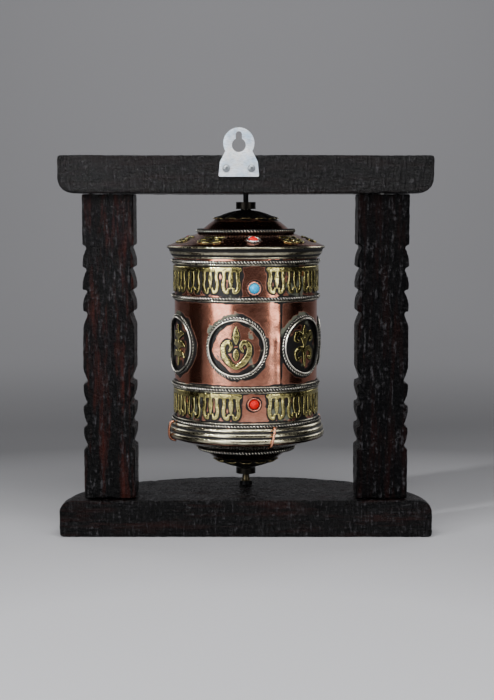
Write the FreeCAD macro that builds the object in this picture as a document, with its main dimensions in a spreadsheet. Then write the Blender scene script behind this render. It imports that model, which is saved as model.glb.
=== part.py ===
import FreeCAD, Part
import math
import os

import Sketcher

# Prayer wheel in a wooden frame. The origin is on the floor under the wheel's spin axis, +Z is up and
# the flat side that hangs on a wall faces -Y.

os.makedirs("parts", exist_ok=True)
doc = FreeCAD.newDocument("PrayerWheel")
Vec = FreeCAD.Vector
UP = Vec(0, 0, 1)

# ---------------------------------------------------------------- driving dimensions (mm and degrees)

SIZES = {
    # wooden frame
    "wall_face_y": -65.0,
    "board_straight": 5.0,
    "base_half_width": 139.0,
    "base_depth": 101.5,
    "base_thick": 28.0,
    "base_roll": 10.0,
    "top_half_width": 137.5,
    "top_depth": 100.0,
    "top_thick": 28.2,
    "top_roll": 11.5,
    "edge_soft": 2.5,
    "post_x": 101.3,
    "post_y": -42.5,
    "post_wide": 38.6,
    "post_deep": 35.0,
    "post_long": 226.5,
    "post_block": 38.0,
    "tooth_pitch": 16.3,
    "tooth_inset": 4.0,
    "tooth_curve": 26.0,
    "waist_taper": 10.5,
    # wood screws
    "screw_radius": 2.1,
    "screw_head": 4.2,
    "screw_head_high": 3.4,
    "screw_recess": 1.0,
    "screw_bite": 30.0,
    # keyhole hanger plate and its nails
    "plate_x": -5.0,
    "plate_rise": 12.2,
    "plate_thick": 1.2,
    "plate_half_foot": 14.7,
    "plate_half_shoulder": 13.7,
    "plate_shoulder_high": 10.7,
    "plate_ring": 11.25,
    "plate_ring_high": 24.1,
    "plate_neck_drop": 5.6,
    "plate_corner": 1.0,
    "keyhole_radius": 5.05,
    "keyhole_high": 22.7,
    "keyslot_radius": 2.25,
    "keyslot_high": 30.4,
    "nail_apart": 18.2,
    "nail_high": 6.0,
    "nail_radius": 1.1,
    "nail_head": 2.85,
    "nail_head_high": 1.6,
    "nail_long": 16.0,
    # axle
    "rod_radius": 2.0,
    "rod_foot": 10.0,
    "rod_top": 270.0,
    "washer_radius": 5.0,
    "washer_high": 3.0,
    "bead_foot": 3.9,
    "bead_neck": 2.7,
    "bead_top": 36.8,
    "running_clearance": 0.05,
    "tube_inner": 2.6,
    "tube_outer": 4.0,
    # bushes (collars)
    "collar_radius": 7.6,
    "top_collar_foot": 243.4,
    "top_collar_top": 248.8,
    "bottom_collar_foot": 37.1,
    "bottom_collar_top": 41.5,
    "spigot_long": 5.5,
    # drum and lids
    "drum_radius": 55.5,
    "sheet": 0.8,
    "drum_foot": 68.2,
    "drum_top": 216.6,
    "lid_sheet": 0.86,
    "lid_hole": 33.0,
    "lid_rim": 60.6,
    "lid_rim_top": 215.4,
    "lid_slope": 0.404,
    "low_lid_rim_foot": 68.0,
    "low_lid_slope": 0.333,
    "dome_foot": 36.0,
    "cap_thick": 0.9,
    "cap_radius": 25.7,
    "cap_notch": 5.0,
    "cap_petals": 12,
    # white metal rims
    "top_rim_foot": 206.3,
    "top_rim_lip": 61.4,
    "low_rim_top": 80.3,
    "low_rim_lip": 60.9,
    # wires round the drum and the domes
    "rope_radius": 1.2,
    "wire_radius": 0.7,
    "first_rope_z": 204.0,
    "second_rope_z": 177.0,
    "third_rope_z": 109.0,
    "fourth_rope_z": 81.6,
    "crown_rope_radius": 1.6,
    "solder_gap": 0.02,
    # brass bands
    "brass_thick": 1.0,
    "upper_band_foot": 179.4,
    "lower_band_foot": 85.0,
    "band_high": 21.2,
    "panel_angle": 101.0,
    "stone_phase": 6.5,
    # medallions
    "medallion_phase": -7.5,
    "medallion_z": 140.5,
    "medallion_radius": 23.5,
    "medallion_rope_wide": 1.9,
    "medallion_rope_proud": 2.0,
    "hoop_wide": 1.5,
    "hoop_proud": 3.0,
    "motif_half_wide": 12.5,
    "motif_half_high": 16.0,
    "motif_curve": 17.2,
    # stones and bezels
    "turquoise_z": 184.8,
    "low_coral_z": 98.4,
    "bezel_radius": 5.2,
    "bezel_high": 1.8,
    "stone_radius": 3.7,
    "stone_high": 2.9,
    "lid_stone_ring": 49.0,
    "lid_motif_inner": 42.5,
    "lid_motif_outer": 55.5,
    "lid_motif_angle": 26.0,
    "lid_motif_near": 26.0,
    "lid_motif_far": 68.0,
    # scroll
    "scroll_outer": 46.0,
    "scroll_foot": 76.0,
    "scroll_top": 204.0,
    "tie_radius": 0.8,
    # rim ties
    "tie_wire": 0.9,
    "tie_phase": 19.0,
    "tie_top": 79.0,
    "tie_bend": 2.6,
    "tie_stand_off": 0.8,
}

sheet = doc.addObject("Spreadsheet::Sheet", "Sizes")
for row, (alias, amount) in enumerate(SIZES.items(), start=1):
    sheet.set(f"A{row}", alias)
    sheet.set(f"B{row}", str(amount))
    sheet.setAlias(f"B{row}", alias)
doc.recompute()


class Dim:
    """A length with its value and the spreadsheet expression that gives it."""

    def __init__(self, value, text):
        self.value = value
        self.text = text

    def __add__(self, other):
        other = as_dim(other)
        return Dim(self.value + other.value, f"({self.text} + {other.text})")

    def __sub__(self, other):
        other = as_dim(other)
        return Dim(self.value - other.value, f"({self.text} - {other.text})")

    def __mul__(self, other):
        other = as_dim(other)
        return Dim(self.value * other.value, f"({self.text} * {other.text})")

    def __truediv__(self, other):
        other = as_dim(other)
        return Dim(self.value / other.value, f"({self.text} / {other.text})")

    def __neg__(self):
        return Dim(-self.value, f"(0 - {self.text})")


def as_dim(amount):
    if isinstance(amount, Dim):
        return amount
    return Dim(float(amount), f"({float(amount)})")


class Cells:
    """Reads a cell of the sheet as a Dim: cells.base_thick, and so on."""

    def __getattr__(self, alias):
        return Dim(SIZES[alias], f"Sizes.{alias}")


cells = Cells()
FLOOR = as_dim(0)

# ---------------------------------------------------------------- modelling helpers

nodes = {}


def new_body(label):
    body = doc.addObject("PartDesign::Body", label)
    body.Label = label
    nodes[label] = body
    return body


def origin_part(body, role):
    return next(item for item in body.Origin.OriginFeatures if item.Role == role)


def new_sketch(body, name, role):
    """An empty sketch on one of the body's own origin planes."""
    sketch = body.newObject("Sketcher::SketchObject", name)
    sketch.AttachmentSupport = (origin_part(body, role), [""])
    sketch.MapMode = "FlatFace"
    return sketch


def constrain(sketch, kind, *picks, size=None):
    """Adds one constraint, and binds it to its cells when it has a size."""
    if size is None:
        sketch.addConstraint(Sketcher.Constraint(kind, *picks))
        return
    index = sketch.addConstraint(Sketcher.Constraint(kind, *picks, size.value))
    sketch.setExpression(f"Constraints[{index}]", size.text)


def place_point(sketch, edge, end, across, along):
    """Pins the end of an edge at (across, along) from the sketch's origin."""
    constrain(sketch, "DistanceX", -1, 1, edge, end, size=as_dim(across))
    constrain(sketch, "DistanceY", -1, 1, edge, end, size=as_dim(along))


def arc_between(start, finish, radius, left):
    """The short arc from start to finish; it bulges to the right of travel, or to the left."""
    chord = finish - start
    normal = Vec(-chord.y, chord.x, 0).normalize()
    if left:
        normal = normal * -1
    centre = (start + finish) * 0.5 + normal * math.sqrt(radius ** 2 - (chord.Length / 2) ** 2)
    first, last = (finish, start) if left else (start, finish)
    angles = [math.atan2(point.y - centre.y, point.x - centre.x) for point in (first, last)]
    return Part.ArcOfCircle(Part.Circle(centre, UP, radius), *angles)


def outline(sketch, points, arcs=None):
    """A closed outline through the points; arcs maps an edge's number to (radius, left)."""
    arcs = arcs or {}
    spots = [(as_dim(across), as_dim(along)) for across, along in points]
    places = [Vec(across.value, along.value, 0) for across, along in spots]
    edges = []
    for number, start in enumerate(places):
        finish = places[(number + 1) % len(places)]
        if number in arcs:
            radius, left = arcs[number]
            edge = sketch.addGeometry(arc_between(start, finish, radius.value, left))
            edges.append((edge, 2 if left else 1, 1 if left else 2))
        else:
            edges.append((sketch.addGeometry(Part.LineSegment(start, finish)), 1, 2))
    for number, (edge, _, finish_end) in enumerate(edges):
        next_edge, next_start, _ = edges[(number + 1) % len(edges)]
        constrain(sketch, "Coincident", edge, finish_end, next_edge, next_start)
    for (edge, start_end, _), (across, along) in zip(edges, spots):
        place_point(sketch, edge, start_end, across, along)
    for number, (radius, _) in arcs.items():
        constrain(sketch, "Radius", edges[number][0], size=radius)


def circle(sketch, across, along, radius):
    centre = Vec(as_dim(across).value, as_dim(along).value, 0)
    edge = sketch.addGeometry(Part.Circle(centre, UP, radius.value))
    place_point(sketch, edge, 3, across, along)
    constrain(sketch, "Radius", edge, size=radius)


def revolve(body, sketch, angle=None, axis="V_Axis"):
    feature = body.newObject("PartDesign::Revolution", "Turned")
    feature.Profile = (sketch, [""])
    feature.ReferenceAxis = (sketch, [axis])
    feature.Angle = 360
    if angle is not None:
        feature.setExpression("Angle", angle.text)
    doc.recompute()
    return feature


def pad(body, sketch, length, reverse=False):
    feature = body.newObject("PartDesign::Pad", "Pad")
    feature.Profile = (sketch, [""])
    feature.setExpression("Length", length.text)
    feature.Reversed = reverse
    doc.recompute()
    return feature


def cut(body, sketch, length, kind="Pocket", reverse=False):
    """A pocket or a groove; it has to take material away."""
    before = body.Shape.Volume
    feature = body.newObject(f"PartDesign::{kind}", "Cut")
    feature.Profile = (sketch, [""])
    if kind == "Groove":
        feature.ReferenceAxis = (sketch, ["V_Axis"])
        feature.Angle = 360
    else:
        feature.Reversed = reverse
        feature.setExpression("Length", length.text)
    doc.recompute()
    if body.Shape.Volume > before - 0.01:
        raise RuntimeError(f"{body.Label}: a cut took nothing away")
    return feature


def ring_pattern(body, features, count):
    """Repeats the features round the body's vertical axis."""
    pattern = body.newObject("PartDesign::PolarPattern", "Ring")
    pattern.Originals = features
    pattern.Axis = (origin_part(body, "Z_Axis"), [""])
    pattern.Angle = 360
    pattern.Occurrences = count
    body.Tip = pattern
    doc.recompute()


def row_pattern(body, features, length):
    """Repeats the features once more, the given length along X."""
    pattern = body.newObject("PartDesign::LinearPattern", "Pair")
    pattern.Originals = features
    pattern.Direction = (origin_part(body, "X_Axis"), [""])
    pattern.setExpression("Length", length.text)
    pattern.Occurrences = 2
    body.Tip = pattern
    doc.recompute()


def mirror(body, features, role):
    copy = body.newObject("PartDesign::Mirrored", "Mirrored")
    copy.Originals = features
    copy.MirrorPlane = (origin_part(body, role), [""])
    body.Tip = copy
    doc.recompute()


def move(body, x=FLOOR, y=FLOOR, z=FLOOR):
    for axis, size in zip("xyz", (x, y, z)):
        body.setExpression(f"Placement.Base.{axis}", size.text)


def turn(body, degrees):
    body.Placement.Rotation = FreeCAD.Rotation(UP, degrees)


def turned(label, points, arcs=None, angle=None):
    """A piece turned about the vertical axis from an outline of (radius, height) points."""
    body = new_body(label)
    sketch = new_sketch(body, f"{label}_outline", "XZ_Plane")
    outline(sketch, points, arcs)
    revolve(body, sketch, angle)
    return body


def edge_names(shape, wanted):
    return [f"Edge{number}" for number, edge in enumerate(shape.Edges, start=1) if wanted(edge)]


def round_edges(body, feature, wanted, radius):
    fillet = body.newObject("PartDesign::Fillet", "Rounded")
    fillet.Base = (feature, edge_names(feature.Shape, wanted))
    fillet.setExpression("Radius", radius.text)
    doc.recompute()
    return fillet


# ---------------------------------------------------------------- wooden frame

TOP_FOOT = cells.base_thick + cells.post_long
TOP_OF_WOOD = TOP_FOOT + cells.top_thick


def half_moon_sketch(body, half_width, depth):
    """A straight wall edge, two short sides and half an ellipse."""
    sketch = new_sketch(body, "Plan", "XY_Plane")
    width = half_width.value
    wall = cells.wall_face_y
    centre_y = wall + cells.board_straight
    middle = Vec(0, centre_y.value, 0)
    right, left = Vec(width, centre_y.value, 0), Vec(-width, centre_y.value, 0)
    wall_left, wall_right = Vec(-width, wall.value, 0), Vec(width, wall.value, 0)
    back = sketch.addGeometry(Part.LineSegment(wall_left, wall_right))
    side_right = sketch.addGeometry(Part.LineSegment(wall_right, right))
    ellipse = Part.Ellipse(right, middle + Vec(0, depth.value, 0), middle)
    curve = sketch.addGeometry(Part.ArcOfEllipse(ellipse, 0, math.pi))
    side_left = sketch.addGeometry(Part.LineSegment(left, wall_left))
    sketch.exposeInternalGeometry(curve)
    major, minor = side_left + 1, side_left + 2
    for first, first_end, second, second_end in ((back, 2, side_right, 1), (side_right, 2, curve, 1),
                                                 (curve, 2, side_left, 1), (side_left, 2, back, 1)):
        constrain(sketch, "Coincident", first, first_end, second, second_end)
    constrain(sketch, "Horizontal", back)
    constrain(sketch, "Horizontal", major)
    constrain(sketch, "Vertical", side_right)
    constrain(sketch, "Vertical", side_left)
    constrain(sketch, "PointOnObject", curve, 3, -2)
    constrain(sketch, "Horizontal", curve, 3, side_right, 2)
    constrain(sketch, "DistanceY", -1, 1, back, 1, size=wall)
    constrain(sketch, "DistanceY", -1, 1, curve, 3, size=centre_y)
    constrain(sketch, "Distance", major, size=half_width * 2)
    constrain(sketch, "Distance", minor, size=depth * 2)
    return sketch


def board(label, foot, thick, half_width, depth, roll, roll_on_top):
    """A half-moon board whose curved edge is rolled over on one side."""
    body = new_body(label)
    plan = half_moon_sketch(body, half_width, depth)
    slab = pad(body, plan, thick)
    rolled_z = thick.value if roll_on_top else 0.0
    other_z = thick.value - rolled_z

    def curved_edge_at(height):
        def wanted(edge):
            box = edge.BoundBox
            level = abs(box.ZMin - height) < 0.01 and abs(box.ZMax - height) < 0.01
            return level and box.YMax > cells.wall_face_y.value + 0.01
        return wanted

    rolled = round_edges(body, slab, curved_edge_at(rolled_z), roll)
    round_edges(body, rolled, curved_edge_at(other_z), cells.edge_soft)
    move(body, z=foot)
    return body


def screw_holes(body, thick, head_below):
    """Two clearance holes with recesses for the screw heads."""
    shank = new_sketch(body, "Screw_shanks", "XY_Plane")
    heads = new_sketch(body, "Screw_heads", "XY_Plane")
    recess = cells.screw_recess + cells.screw_head_high
    if not head_below:
        heads.AttachmentOffset = FreeCAD.Placement(Vec(0, 0, (thick - recess).value), FreeCAD.Rotation())
        heads.setExpression("AttachmentOffset.Base.z", (thick - recess).text)
    for x in (cells.post_x, -cells.post_x):
        circle(shank, x, cells.post_y, cells.screw_radius)
        circle(heads, x, cells.post_y, cells.screw_head)
    cut(body, shank, thick, reverse=True)
    cut(body, heads, recess, reverse=True)


def rod_hole(body, foot, depth):
    hole = new_sketch(body, "Rod_hole", "XY_Plane")
    hole.setExpression("AttachmentOffset.Base.z", foot.text)
    circle(hole, 0, 0, cells.rod_radius)
    cut(body, hole, depth, reverse=True)


def make_boards():
    base = board("base_board", FLOOR, cells.base_thick, cells.base_half_width, cells.base_depth,
                 cells.base_roll, roll_on_top=True)
    screw_holes(base, cells.base_thick, head_below=True)
    rod_hole(base, cells.rod_foot, cells.base_thick - cells.rod_foot)
    top = board("top_board", TOP_FOOT, cells.top_thick, cells.top_half_width, cells.top_depth,
                cells.top_roll, roll_on_top=False)
    screw_holes(top, cells.top_thick, head_below=False)
    rod_hole(top, FLOOR, cells.rod_top - TOP_FOOT)
    nail_holes = new_sketch(top, "Nail_holes", "XZ_Plane")
    nail_holes.setExpression("AttachmentOffset.Base.z", (-cells.wall_face_y).text)
    for side in (-0.5, 0.5):
        circle(nail_holes, cells.plate_x + cells.nail_apart * side, cells.plate_rise + cells.nail_high,
               cells.nail_radius)
    cut(top, nail_holes, cells.nail_long)


def make_post(label, x):
    """A square post with three saw teeth next to each end block, cut on both outer sides."""
    body = new_body(label)
    half_wide, half_deep = cells.post_wide / 2, cells.post_deep / 2
    half_long = cells.post_long / 2
    plan = new_sketch(body, "Section", "XY_Plane")
    plan.setExpression("AttachmentOffset.Base.z", (-half_long).text)
    outline(plan, [(-half_wide, -half_deep), (half_wide, -half_deep), (half_wide, half_deep),
                   (-half_wide, half_deep)])
    pad(body, plan, cells.post_long)

    teeth = new_sketch(body, "Teeth", "XZ_Plane")
    teeth.setExpression("AttachmentOffset.Base.z", half_deep.text)
    inset = half_wide - cells.tooth_inset
    first = cells.post_block - half_long
    for number in range(3):
        foot = first + cells.tooth_pitch * number
        head = foot + cells.tooth_pitch
        outline(teeth, [(half_wide, foot), (half_wide, head), (inset, foot)],
                arcs={1: (cells.tooth_curve, True)})
    waist = first + cells.tooth_pitch * 3
    outline(teeth, [(half_wide, waist), (half_wide, waist + cells.waist_taper), (inset, waist)])
    notches = cut(body, teeth, cells.post_deep)
    mirror(body, [notches], "YZ_Plane")
    low_side = body.Tip
    upper = new_sketch(body, "Upper_teeth", "XZ_Plane")
    upper.setExpression("AttachmentOffset.Base.z", half_deep.text)
    for number in range(3):
        head = -first - cells.tooth_pitch * number
        foot = head - cells.tooth_pitch
        outline(upper, [(half_wide, foot), (half_wide, head), (inset, head)],
                arcs={2: (cells.tooth_curve, True)})
    outline(upper, [(half_wide, -waist - cells.waist_taper), (half_wide, -waist), (inset, -waist)])
    upper_notches = cut(body, upper, cells.post_deep)
    mirror(body, [upper_notches], "YZ_Plane")
    if low_side.Shape.Volume < body.Shape.Volume:
        raise RuntimeError(f"{label}: the upper teeth took nothing away")

    for end, name in ((-half_long, "Foot_hole"), (half_long - cells.screw_bite, "Head_hole")):
        hole = new_sketch(body, name, "XY_Plane")
        hole.setExpression("AttachmentOffset.Base.z", end.text)
        circle(hole, 0, 0, cells.screw_radius)
        cut(body, hole, cells.screw_bite, reverse=True)
    move(body, x, cells.post_y, cells.base_thick + half_long)


def make_screws(label, head_z, tip_z, head_side):
    """Two wood screws, one per post, with flat heads and plain shanks."""
    body = new_body(label)
    sketch = new_sketch(body, "Screw", "XZ_Plane")
    seat_z = head_z + cells.screw_head_high * head_side
    outline(sketch, [(0, head_z), (cells.screw_head, head_z), (cells.screw_head, seat_z),
                     (cells.screw_radius, seat_z), (cells.screw_radius, tip_z), (0, tip_z)])
    screw = revolve(body, sketch)
    row_pattern(body, [screw], cells.post_x * 2)
    move(body, -cells.post_x, cells.post_y)


def make_hanger():
    """Zinc plate: a wide foot, a narrow neck and a ring with a keyhole."""
    body = new_body("hanger_plate")
    face = new_sketch(body, "Face", "XZ_Plane")
    neck_z = cells.plate_ring_high - cells.plate_neck_drop
    neck_x_value = math.sqrt(SIZES["plate_ring"] ** 2 - SIZES["plate_neck_drop"] ** 2)
    neck_x = Dim(neck_x_value, "sqrt(Sizes.plate_ring ^ 2 - Sizes.plate_neck_drop ^ 2)")
    crown = cells.plate_ring_high + cells.plate_ring
    outline(face, [(-cells.plate_half_foot, 0), (cells.plate_half_foot, 0),
                   (cells.plate_half_shoulder, cells.plate_shoulder_high), (neck_x, neck_z),
                   (0, crown), (-neck_x, neck_z), (-cells.plate_half_shoulder, cells.plate_shoulder_high)],
            arcs={3: (cells.plate_ring, False), 4: (cells.plate_ring, False)})
    plate = pad(body, face, cells.plate_thick)
    round_edges(body, plate, lambda edge: edge.BoundBox.ZMax < 0.01 and edge.BoundBox.YLength > 1,
                cells.plate_corner)
    for name, spots in (("Keyhole", [(0, cells.keyhole_high, cells.keyhole_radius)]),
                        ("Nail_holes", [(cells.nail_apart * side, cells.nail_high, cells.nail_radius)
                                        for side in (-0.5, 0.5)])):
        hole = new_sketch(body, name, "XZ_Plane")
        for across, along, radius in spots:
            circle(hole, across, along, radius)
        cut(body, hole, cells.plate_thick, reverse=True)
    slot = new_sketch(body, "Keyslot", "XZ_Plane")
    slot_top = cells.keyslot_high + cells.keyslot_radius
    outline(slot, [(-cells.keyslot_radius, cells.keyhole_high), (cells.keyslot_radius, cells.keyhole_high),
                   (cells.keyslot_radius, cells.keyslot_high), (0, slot_top),
                   (-cells.keyslot_radius, cells.keyslot_high)],
            arcs={2: (cells.keyslot_radius, False), 3: (cells.keyslot_radius, False)})
    cut(body, slot, cells.plate_thick, reverse=True)
    move(body, cells.plate_x, cells.wall_face_y, TOP_FOOT + cells.plate_rise)


def make_nails():
    """Two round-head nails that lie along Y, heads towards the wall."""
    body = new_body("hanger_nails")
    sketch = new_sketch(body, "Nail", "XY_Plane")
    crown = -cells.nail_head_high
    outline(sketch, [(0, crown), (cells.nail_head * 0.75, crown * 0.7), (cells.nail_head, 0),
                     (cells.nail_radius, 0), (cells.nail_radius, cells.plate_thick + cells.nail_long),
                     (0, cells.plate_thick + cells.nail_long)])
    nail = revolve(body, sketch)
    row_pattern(body, [nail], cells.nail_apart)
    move(body, cells.plate_x - cells.nail_apart / 2, cells.wall_face_y - cells.plate_thick,
         TOP_FOOT + cells.plate_rise + cells.nail_high)


# ---------------------------------------------------------------- axle and its bushes


def make_axle():
    """The fixed rod, with the washer and the bell-shaped bead that carry the wheel."""
    rod, foot = cells.rod_radius, cells.base_thick
    turned("axle_rod", [(0, cells.rod_foot), (rod, cells.rod_foot), (rod, cells.rod_top), (0, cells.rod_top)])
    washer_top = foot + cells.washer_high
    turned("axle_washer", [(rod, foot), (cells.washer_radius, foot), (cells.washer_radius, washer_top),
                           (rod, washer_top)])
    turned("pivot_bead", [(rod, washer_top), (cells.bead_foot, washer_top),
                          (cells.bead_neck, cells.bead_top), (rod, cells.bead_top)],
           arcs={1: (as_dim(9), True)})


def make_bushes():
    """A flanged bush at each end of the axle tube runs on the rod."""
    bore = cells.rod_radius + cells.running_clearance
    top_foot, top_end = cells.top_collar_foot, cells.top_collar_top
    low_foot, low_end = cells.bottom_collar_foot, cells.bottom_collar_top
    top_spigot, low_spigot = top_foot - cells.spigot_long, low_end + cells.spigot_long
    turned("top_collar", [(bore, top_spigot), (cells.tube_outer, top_spigot), (cells.tube_outer, top_foot),
                          (cells.collar_radius, top_foot), (cells.collar_radius, top_end), (bore, top_end)])
    turned("bottom_collar", [(bore, low_foot), (cells.collar_radius, low_foot),
                             (cells.collar_radius, low_end), (cells.tube_outer, low_end),
                             (cells.tube_outer, low_spigot), (bore, low_spigot)])
    turned("axle_tube", [(cells.tube_inner, low_spigot), (cells.tube_outer, low_spigot),
                         (cells.tube_outer, top_spigot), (cells.tube_inner, top_spigot)])


# ---------------------------------------------------------------- drum, lids, domes and caps


def lid_height(radius):
    """Height of the top lid's outer surface at a radius."""
    return cells.lid_rim_top + (cells.lid_rim - radius) * cells.lid_slope


def low_lid_height(radius):
    """Height of the bottom lid's outer surface at a radius."""
    return cells.low_lid_rim_foot - (cells.lid_rim - radius) * cells.low_lid_slope


def make_drum():
    inner = cells.drum_radius - cells.sheet
    turned("drum_shell", [(inner, cells.drum_foot), (cells.drum_radius, cells.drum_foot),
                          (cells.drum_radius, cells.drum_top), (inner, cells.drum_top)])
    drop = cells.lid_sheet
    for label, height, step in (("top_lid", lid_height, -drop), ("bottom_lid", low_lid_height, drop)):
        inside, outside = cells.lid_hole, cells.lid_rim
        turned(label, [(inside, height(inside)), (outside, height(outside)),
                       (outside, height(outside) + step), (inside, height(inside) + step)])


def dome_profile(collar_z, side, foot_height):
    """Outer outline of a dome from its flat middle to its foot; side is 1 on top and -1 below."""
    step = cells.cap_thick * side
    flat = collar_z - step
    drops = ((8.0, 0.2), (17.0, 2.5), (25.5, 6.4), (28.2, 9.2), (31.3, 12.3))
    if side < 0:
        drops = ((8.0, 0.2), (17.0, 3.6), (25.5, 8.4), (28.2, 10.9), (31.3, 13.6))
    points = [(cells.tube_outer, flat)]
    points += [(as_dim(radius), flat - as_dim(drop * side)) for radius, drop in drops]
    points.append((cells.dome_foot, foot_height(cells.dome_foot)))
    return points


def make_domes():
    """Spun domes on both lids, each with a petal cap between dome and collar."""
    for prefix, collar_z, side, foot_height in (("top", cells.top_collar_foot, 1, lid_height),
                                                ("bottom", cells.bottom_collar_top, -1, low_lid_height)):
        outer = dome_profile(collar_z, side, foot_height)
        inside_foot = cells.dome_foot - cells.sheet * 1.4
        inner = [(inside_foot, foot_height(inside_foot))]
        inner += [(radius - cells.sheet * 0.5, height - cells.sheet * side)
                  for radius, height in outer[-2:1:-1]]
        inner.append((cells.tube_outer, outer[0][1] - cells.sheet * side))
        turned(f"{prefix}_dome", outer + inner)

        step = cells.cap_thick * side
        under = outer[:4]
        over = [(radius, height + step) for radius, height in reversed(under)]
        cap = turned(f"{prefix}_petal_cap", under + over)
        notch = new_sketch(cap, "Notch", "XY_Plane")
        reach = cells.cap_radius + 1
        notch.setExpression("AttachmentOffset.Base.z", (under[3][1] - step * 4).text)
        half_step = math.tan(math.pi / SIZES["cap_petals"])
        outline(notch, [(cells.cap_radius - cells.cap_notch, 0), (reach, -(reach * half_step)),
                        (reach, reach * half_step)])
        notched = cut(cap, notch, as_dim(12), reverse=side > 0)
        ring_pattern(cap, [notched], SIZES["cap_petals"])


def make_rims():
    """White metal mouldings; each is shaped to sit under or over its lid."""
    shell, lip = cells.drum_radius, cells.top_rim_lip
    under = cells.lid_sheet
    foot = cells.top_rim_foot
    turned("top_rim", [(shell, foot), (shell + 2.1, foot + 0.5), (shell + 1.7, foot + 1.7),
                       (shell + 3.0, foot + 2.2), (shell + 4.3, foot + 5.7), (shell + 4.5, foot + 6.3),
                       (lip, foot + 7.7), (lip, cells.lid_rim_top), (cells.lid_rim, cells.lid_rim_top),
                       (cells.lid_rim, lid_height(cells.lid_rim) - under),
                       (shell, lid_height(shell) - under)])
    top, lip = cells.low_rim_top, cells.low_rim_lip
    ridge = as_dim(2.2)
    turned("bottom_rim", [(shell, low_lid_height(shell) + under),
                          (cells.lid_rim, low_lid_height(cells.lid_rim) + under), (lip, top - 11.3),
                          (lip - 0.8, top - 7.6), (lip - 1.0, top - 6.9), (lip - 1.8, top - 3.5),
                          (lip - 2.0, top - 2.9), (lip - 3.6, top - 0.4), (shell, top)],
           arcs={2: (ridge, False), 4: (ridge, False), 6: (ridge, False)})


def make_wire_rings(label, ring_radius, wire_radius, heights):
    body = new_body(label)
    sketch = new_sketch(body, "Section", "XZ_Plane")
    for height in heights:
        circle(sketch, ring_radius, height, wire_radius)
    revolve(body, sketch)


def make_ropes():
    """Twisted ropes and the plain wires soldered beside them, from the top of the drum down."""
    rope, wire = cells.rope_radius, cells.wire_radius
    rope_ring = cells.drum_radius + rope + cells.solder_gap
    wire_ring = cells.drum_radius + wire + cells.solder_gap
    beside = rope + wire + cells.solder_gap
    trims = {
        "first": (cells.first_rope_z, (-1,)),
        "second": (cells.second_rope_z, (-1,)),
        "third": (cells.third_rope_z, (1, -1)),
        "fourth": (cells.fourth_rope_z, (1,)),
    }
    for name, (height, sides) in trims.items():
        make_wire_rings(f"{name}_trim_rope", rope_ring, rope, [height])
        make_wire_rings(f"{name}_trim_wires", wire_ring, wire, [height + beside * side for side in sides])
    crown = cells.crown_rope_radius
    seat = cells.dome_foot + 0.85
    make_wire_rings("top_crown_rope", seat, crown, [lid_height(seat) + crown * 1.11])
    make_wire_rings("bottom_crown_rope", seat + 0.3, crown, [low_lid_height(seat + 0.3) - crown * 1.09])


# ---------------------------------------------------------------- brass bands, medallions and stones


def make_bands():
    """Three brass panels per band, with a gap for a stone between neighbours."""
    shell, face = cells.drum_radius, cells.drum_radius + cells.brass_thick
    for prefix, foot in (("upper", cells.upper_band_foot), ("lower", cells.lower_band_foot)):
        head = foot + cells.band_high
        for number in range(3):
            panel = turned(f"{prefix}_fret_panel_{number + 1}", [(shell, foot), (face, foot), (face, head),
                                                                (shell, head)], angle=cells.panel_angle)
            start = SIZES["stone_phase"] + 120 * number + (120 - SIZES["panel_angle"]) / 2
            turn(panel, start - 90)


def curved_plate(label, sketch_outline, proud):
    """A plate on the drum's face at the body's -Y side; sketch_outline draws it seen from outside."""
    body = new_body(label)
    sketch = new_sketch(body, "Outline", "XZ_Plane")
    sketch_outline(sketch)
    plate = pad(body, sketch, cells.drum_radius + 10)
    hollow = new_sketch(body, "Drum_inside", "XZ_Plane")
    skin = new_sketch(body, "Outer_skin", "XZ_Plane")
    low, high, far = cells.medallion_z - 30, cells.medallion_z + 30, cells.drum_radius * 2
    outline(hollow, [(0, low), (cells.drum_radius, low), (cells.drum_radius, high), (0, high)])
    outline(skin, [(cells.drum_radius + proud, low), (far, low), (far, high),
                   (cells.drum_radius + proud, high)])
    inner_cut = cut(body, hollow, None, kind="Groove")
    outer_cut = cut(body, skin, None, kind="Groove")
    return body, [plate, inner_cut, outer_cut]


def make_medallions():
    """Six hoops that follow the drum, each with a rope outside and a brass motif inside."""
    rope_inner = cells.medallion_radius - cells.medallion_rope_wide
    hoop_outer = rope_inner - cells.solder_gap
    hoop_inner = hoop_outer - cells.hoop_wide

    def ring(outer, inner):
        def draw(sketch):
            circle(sketch, 0, cells.medallion_z, outer)
            circle(sketch, 0, cells.medallion_z, inner)
        return draw

    for label, outer, inner, proud in (
            ("medallion_ropes", cells.medallion_radius, rope_inner, cells.medallion_rope_proud),
            ("medallion_hoops", hoop_outer, hoop_inner, cells.hoop_proud)):
        body, features = curved_plate(label, ring(outer, inner), proud)
        ring_pattern(body, features, 6)
        turn(body, SIZES["medallion_phase"])

    def leaf(sketch):
        curve = (cells.motif_curve, False)
        middle, half_high = cells.medallion_z, cells.motif_half_high
        outline(sketch, [(0, middle - half_high), (cells.motif_half_wide, middle), (0, middle + half_high),
                         (-cells.motif_half_wide, middle)],
                arcs={0: curve, 1: curve, 2: curve, 3: curve})

    for number in range(6):
        body, _ = curved_plate(f"medallion_motif_{number + 1}", leaf, cells.brass_thick)
        turn(body, SIZES["medallion_phase"] + 60 * number)


def studs(label, points, seat_radius, seat_height, tilt):
    """Three small turned pieces that stand on the wheel; tilt leans their axis from up to -Y."""
    body = new_body(label)
    sketch = new_sketch(body, "Section", "YZ_Plane")
    sketch.AttachmentOffset = FreeCAD.Placement(Vec(), FreeCAD.Rotation(UP, tilt))
    sketch.setExpression("AttachmentOffset.Base.x", (-seat_radius).text)
    sketch.setExpression("AttachmentOffset.Base.y", seat_height.text)
    outline(sketch, points)
    stud = revolve(body, sketch)
    ring_pattern(body, [stud], 3)
    turn(body, SIZES["stone_phase"])


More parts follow.
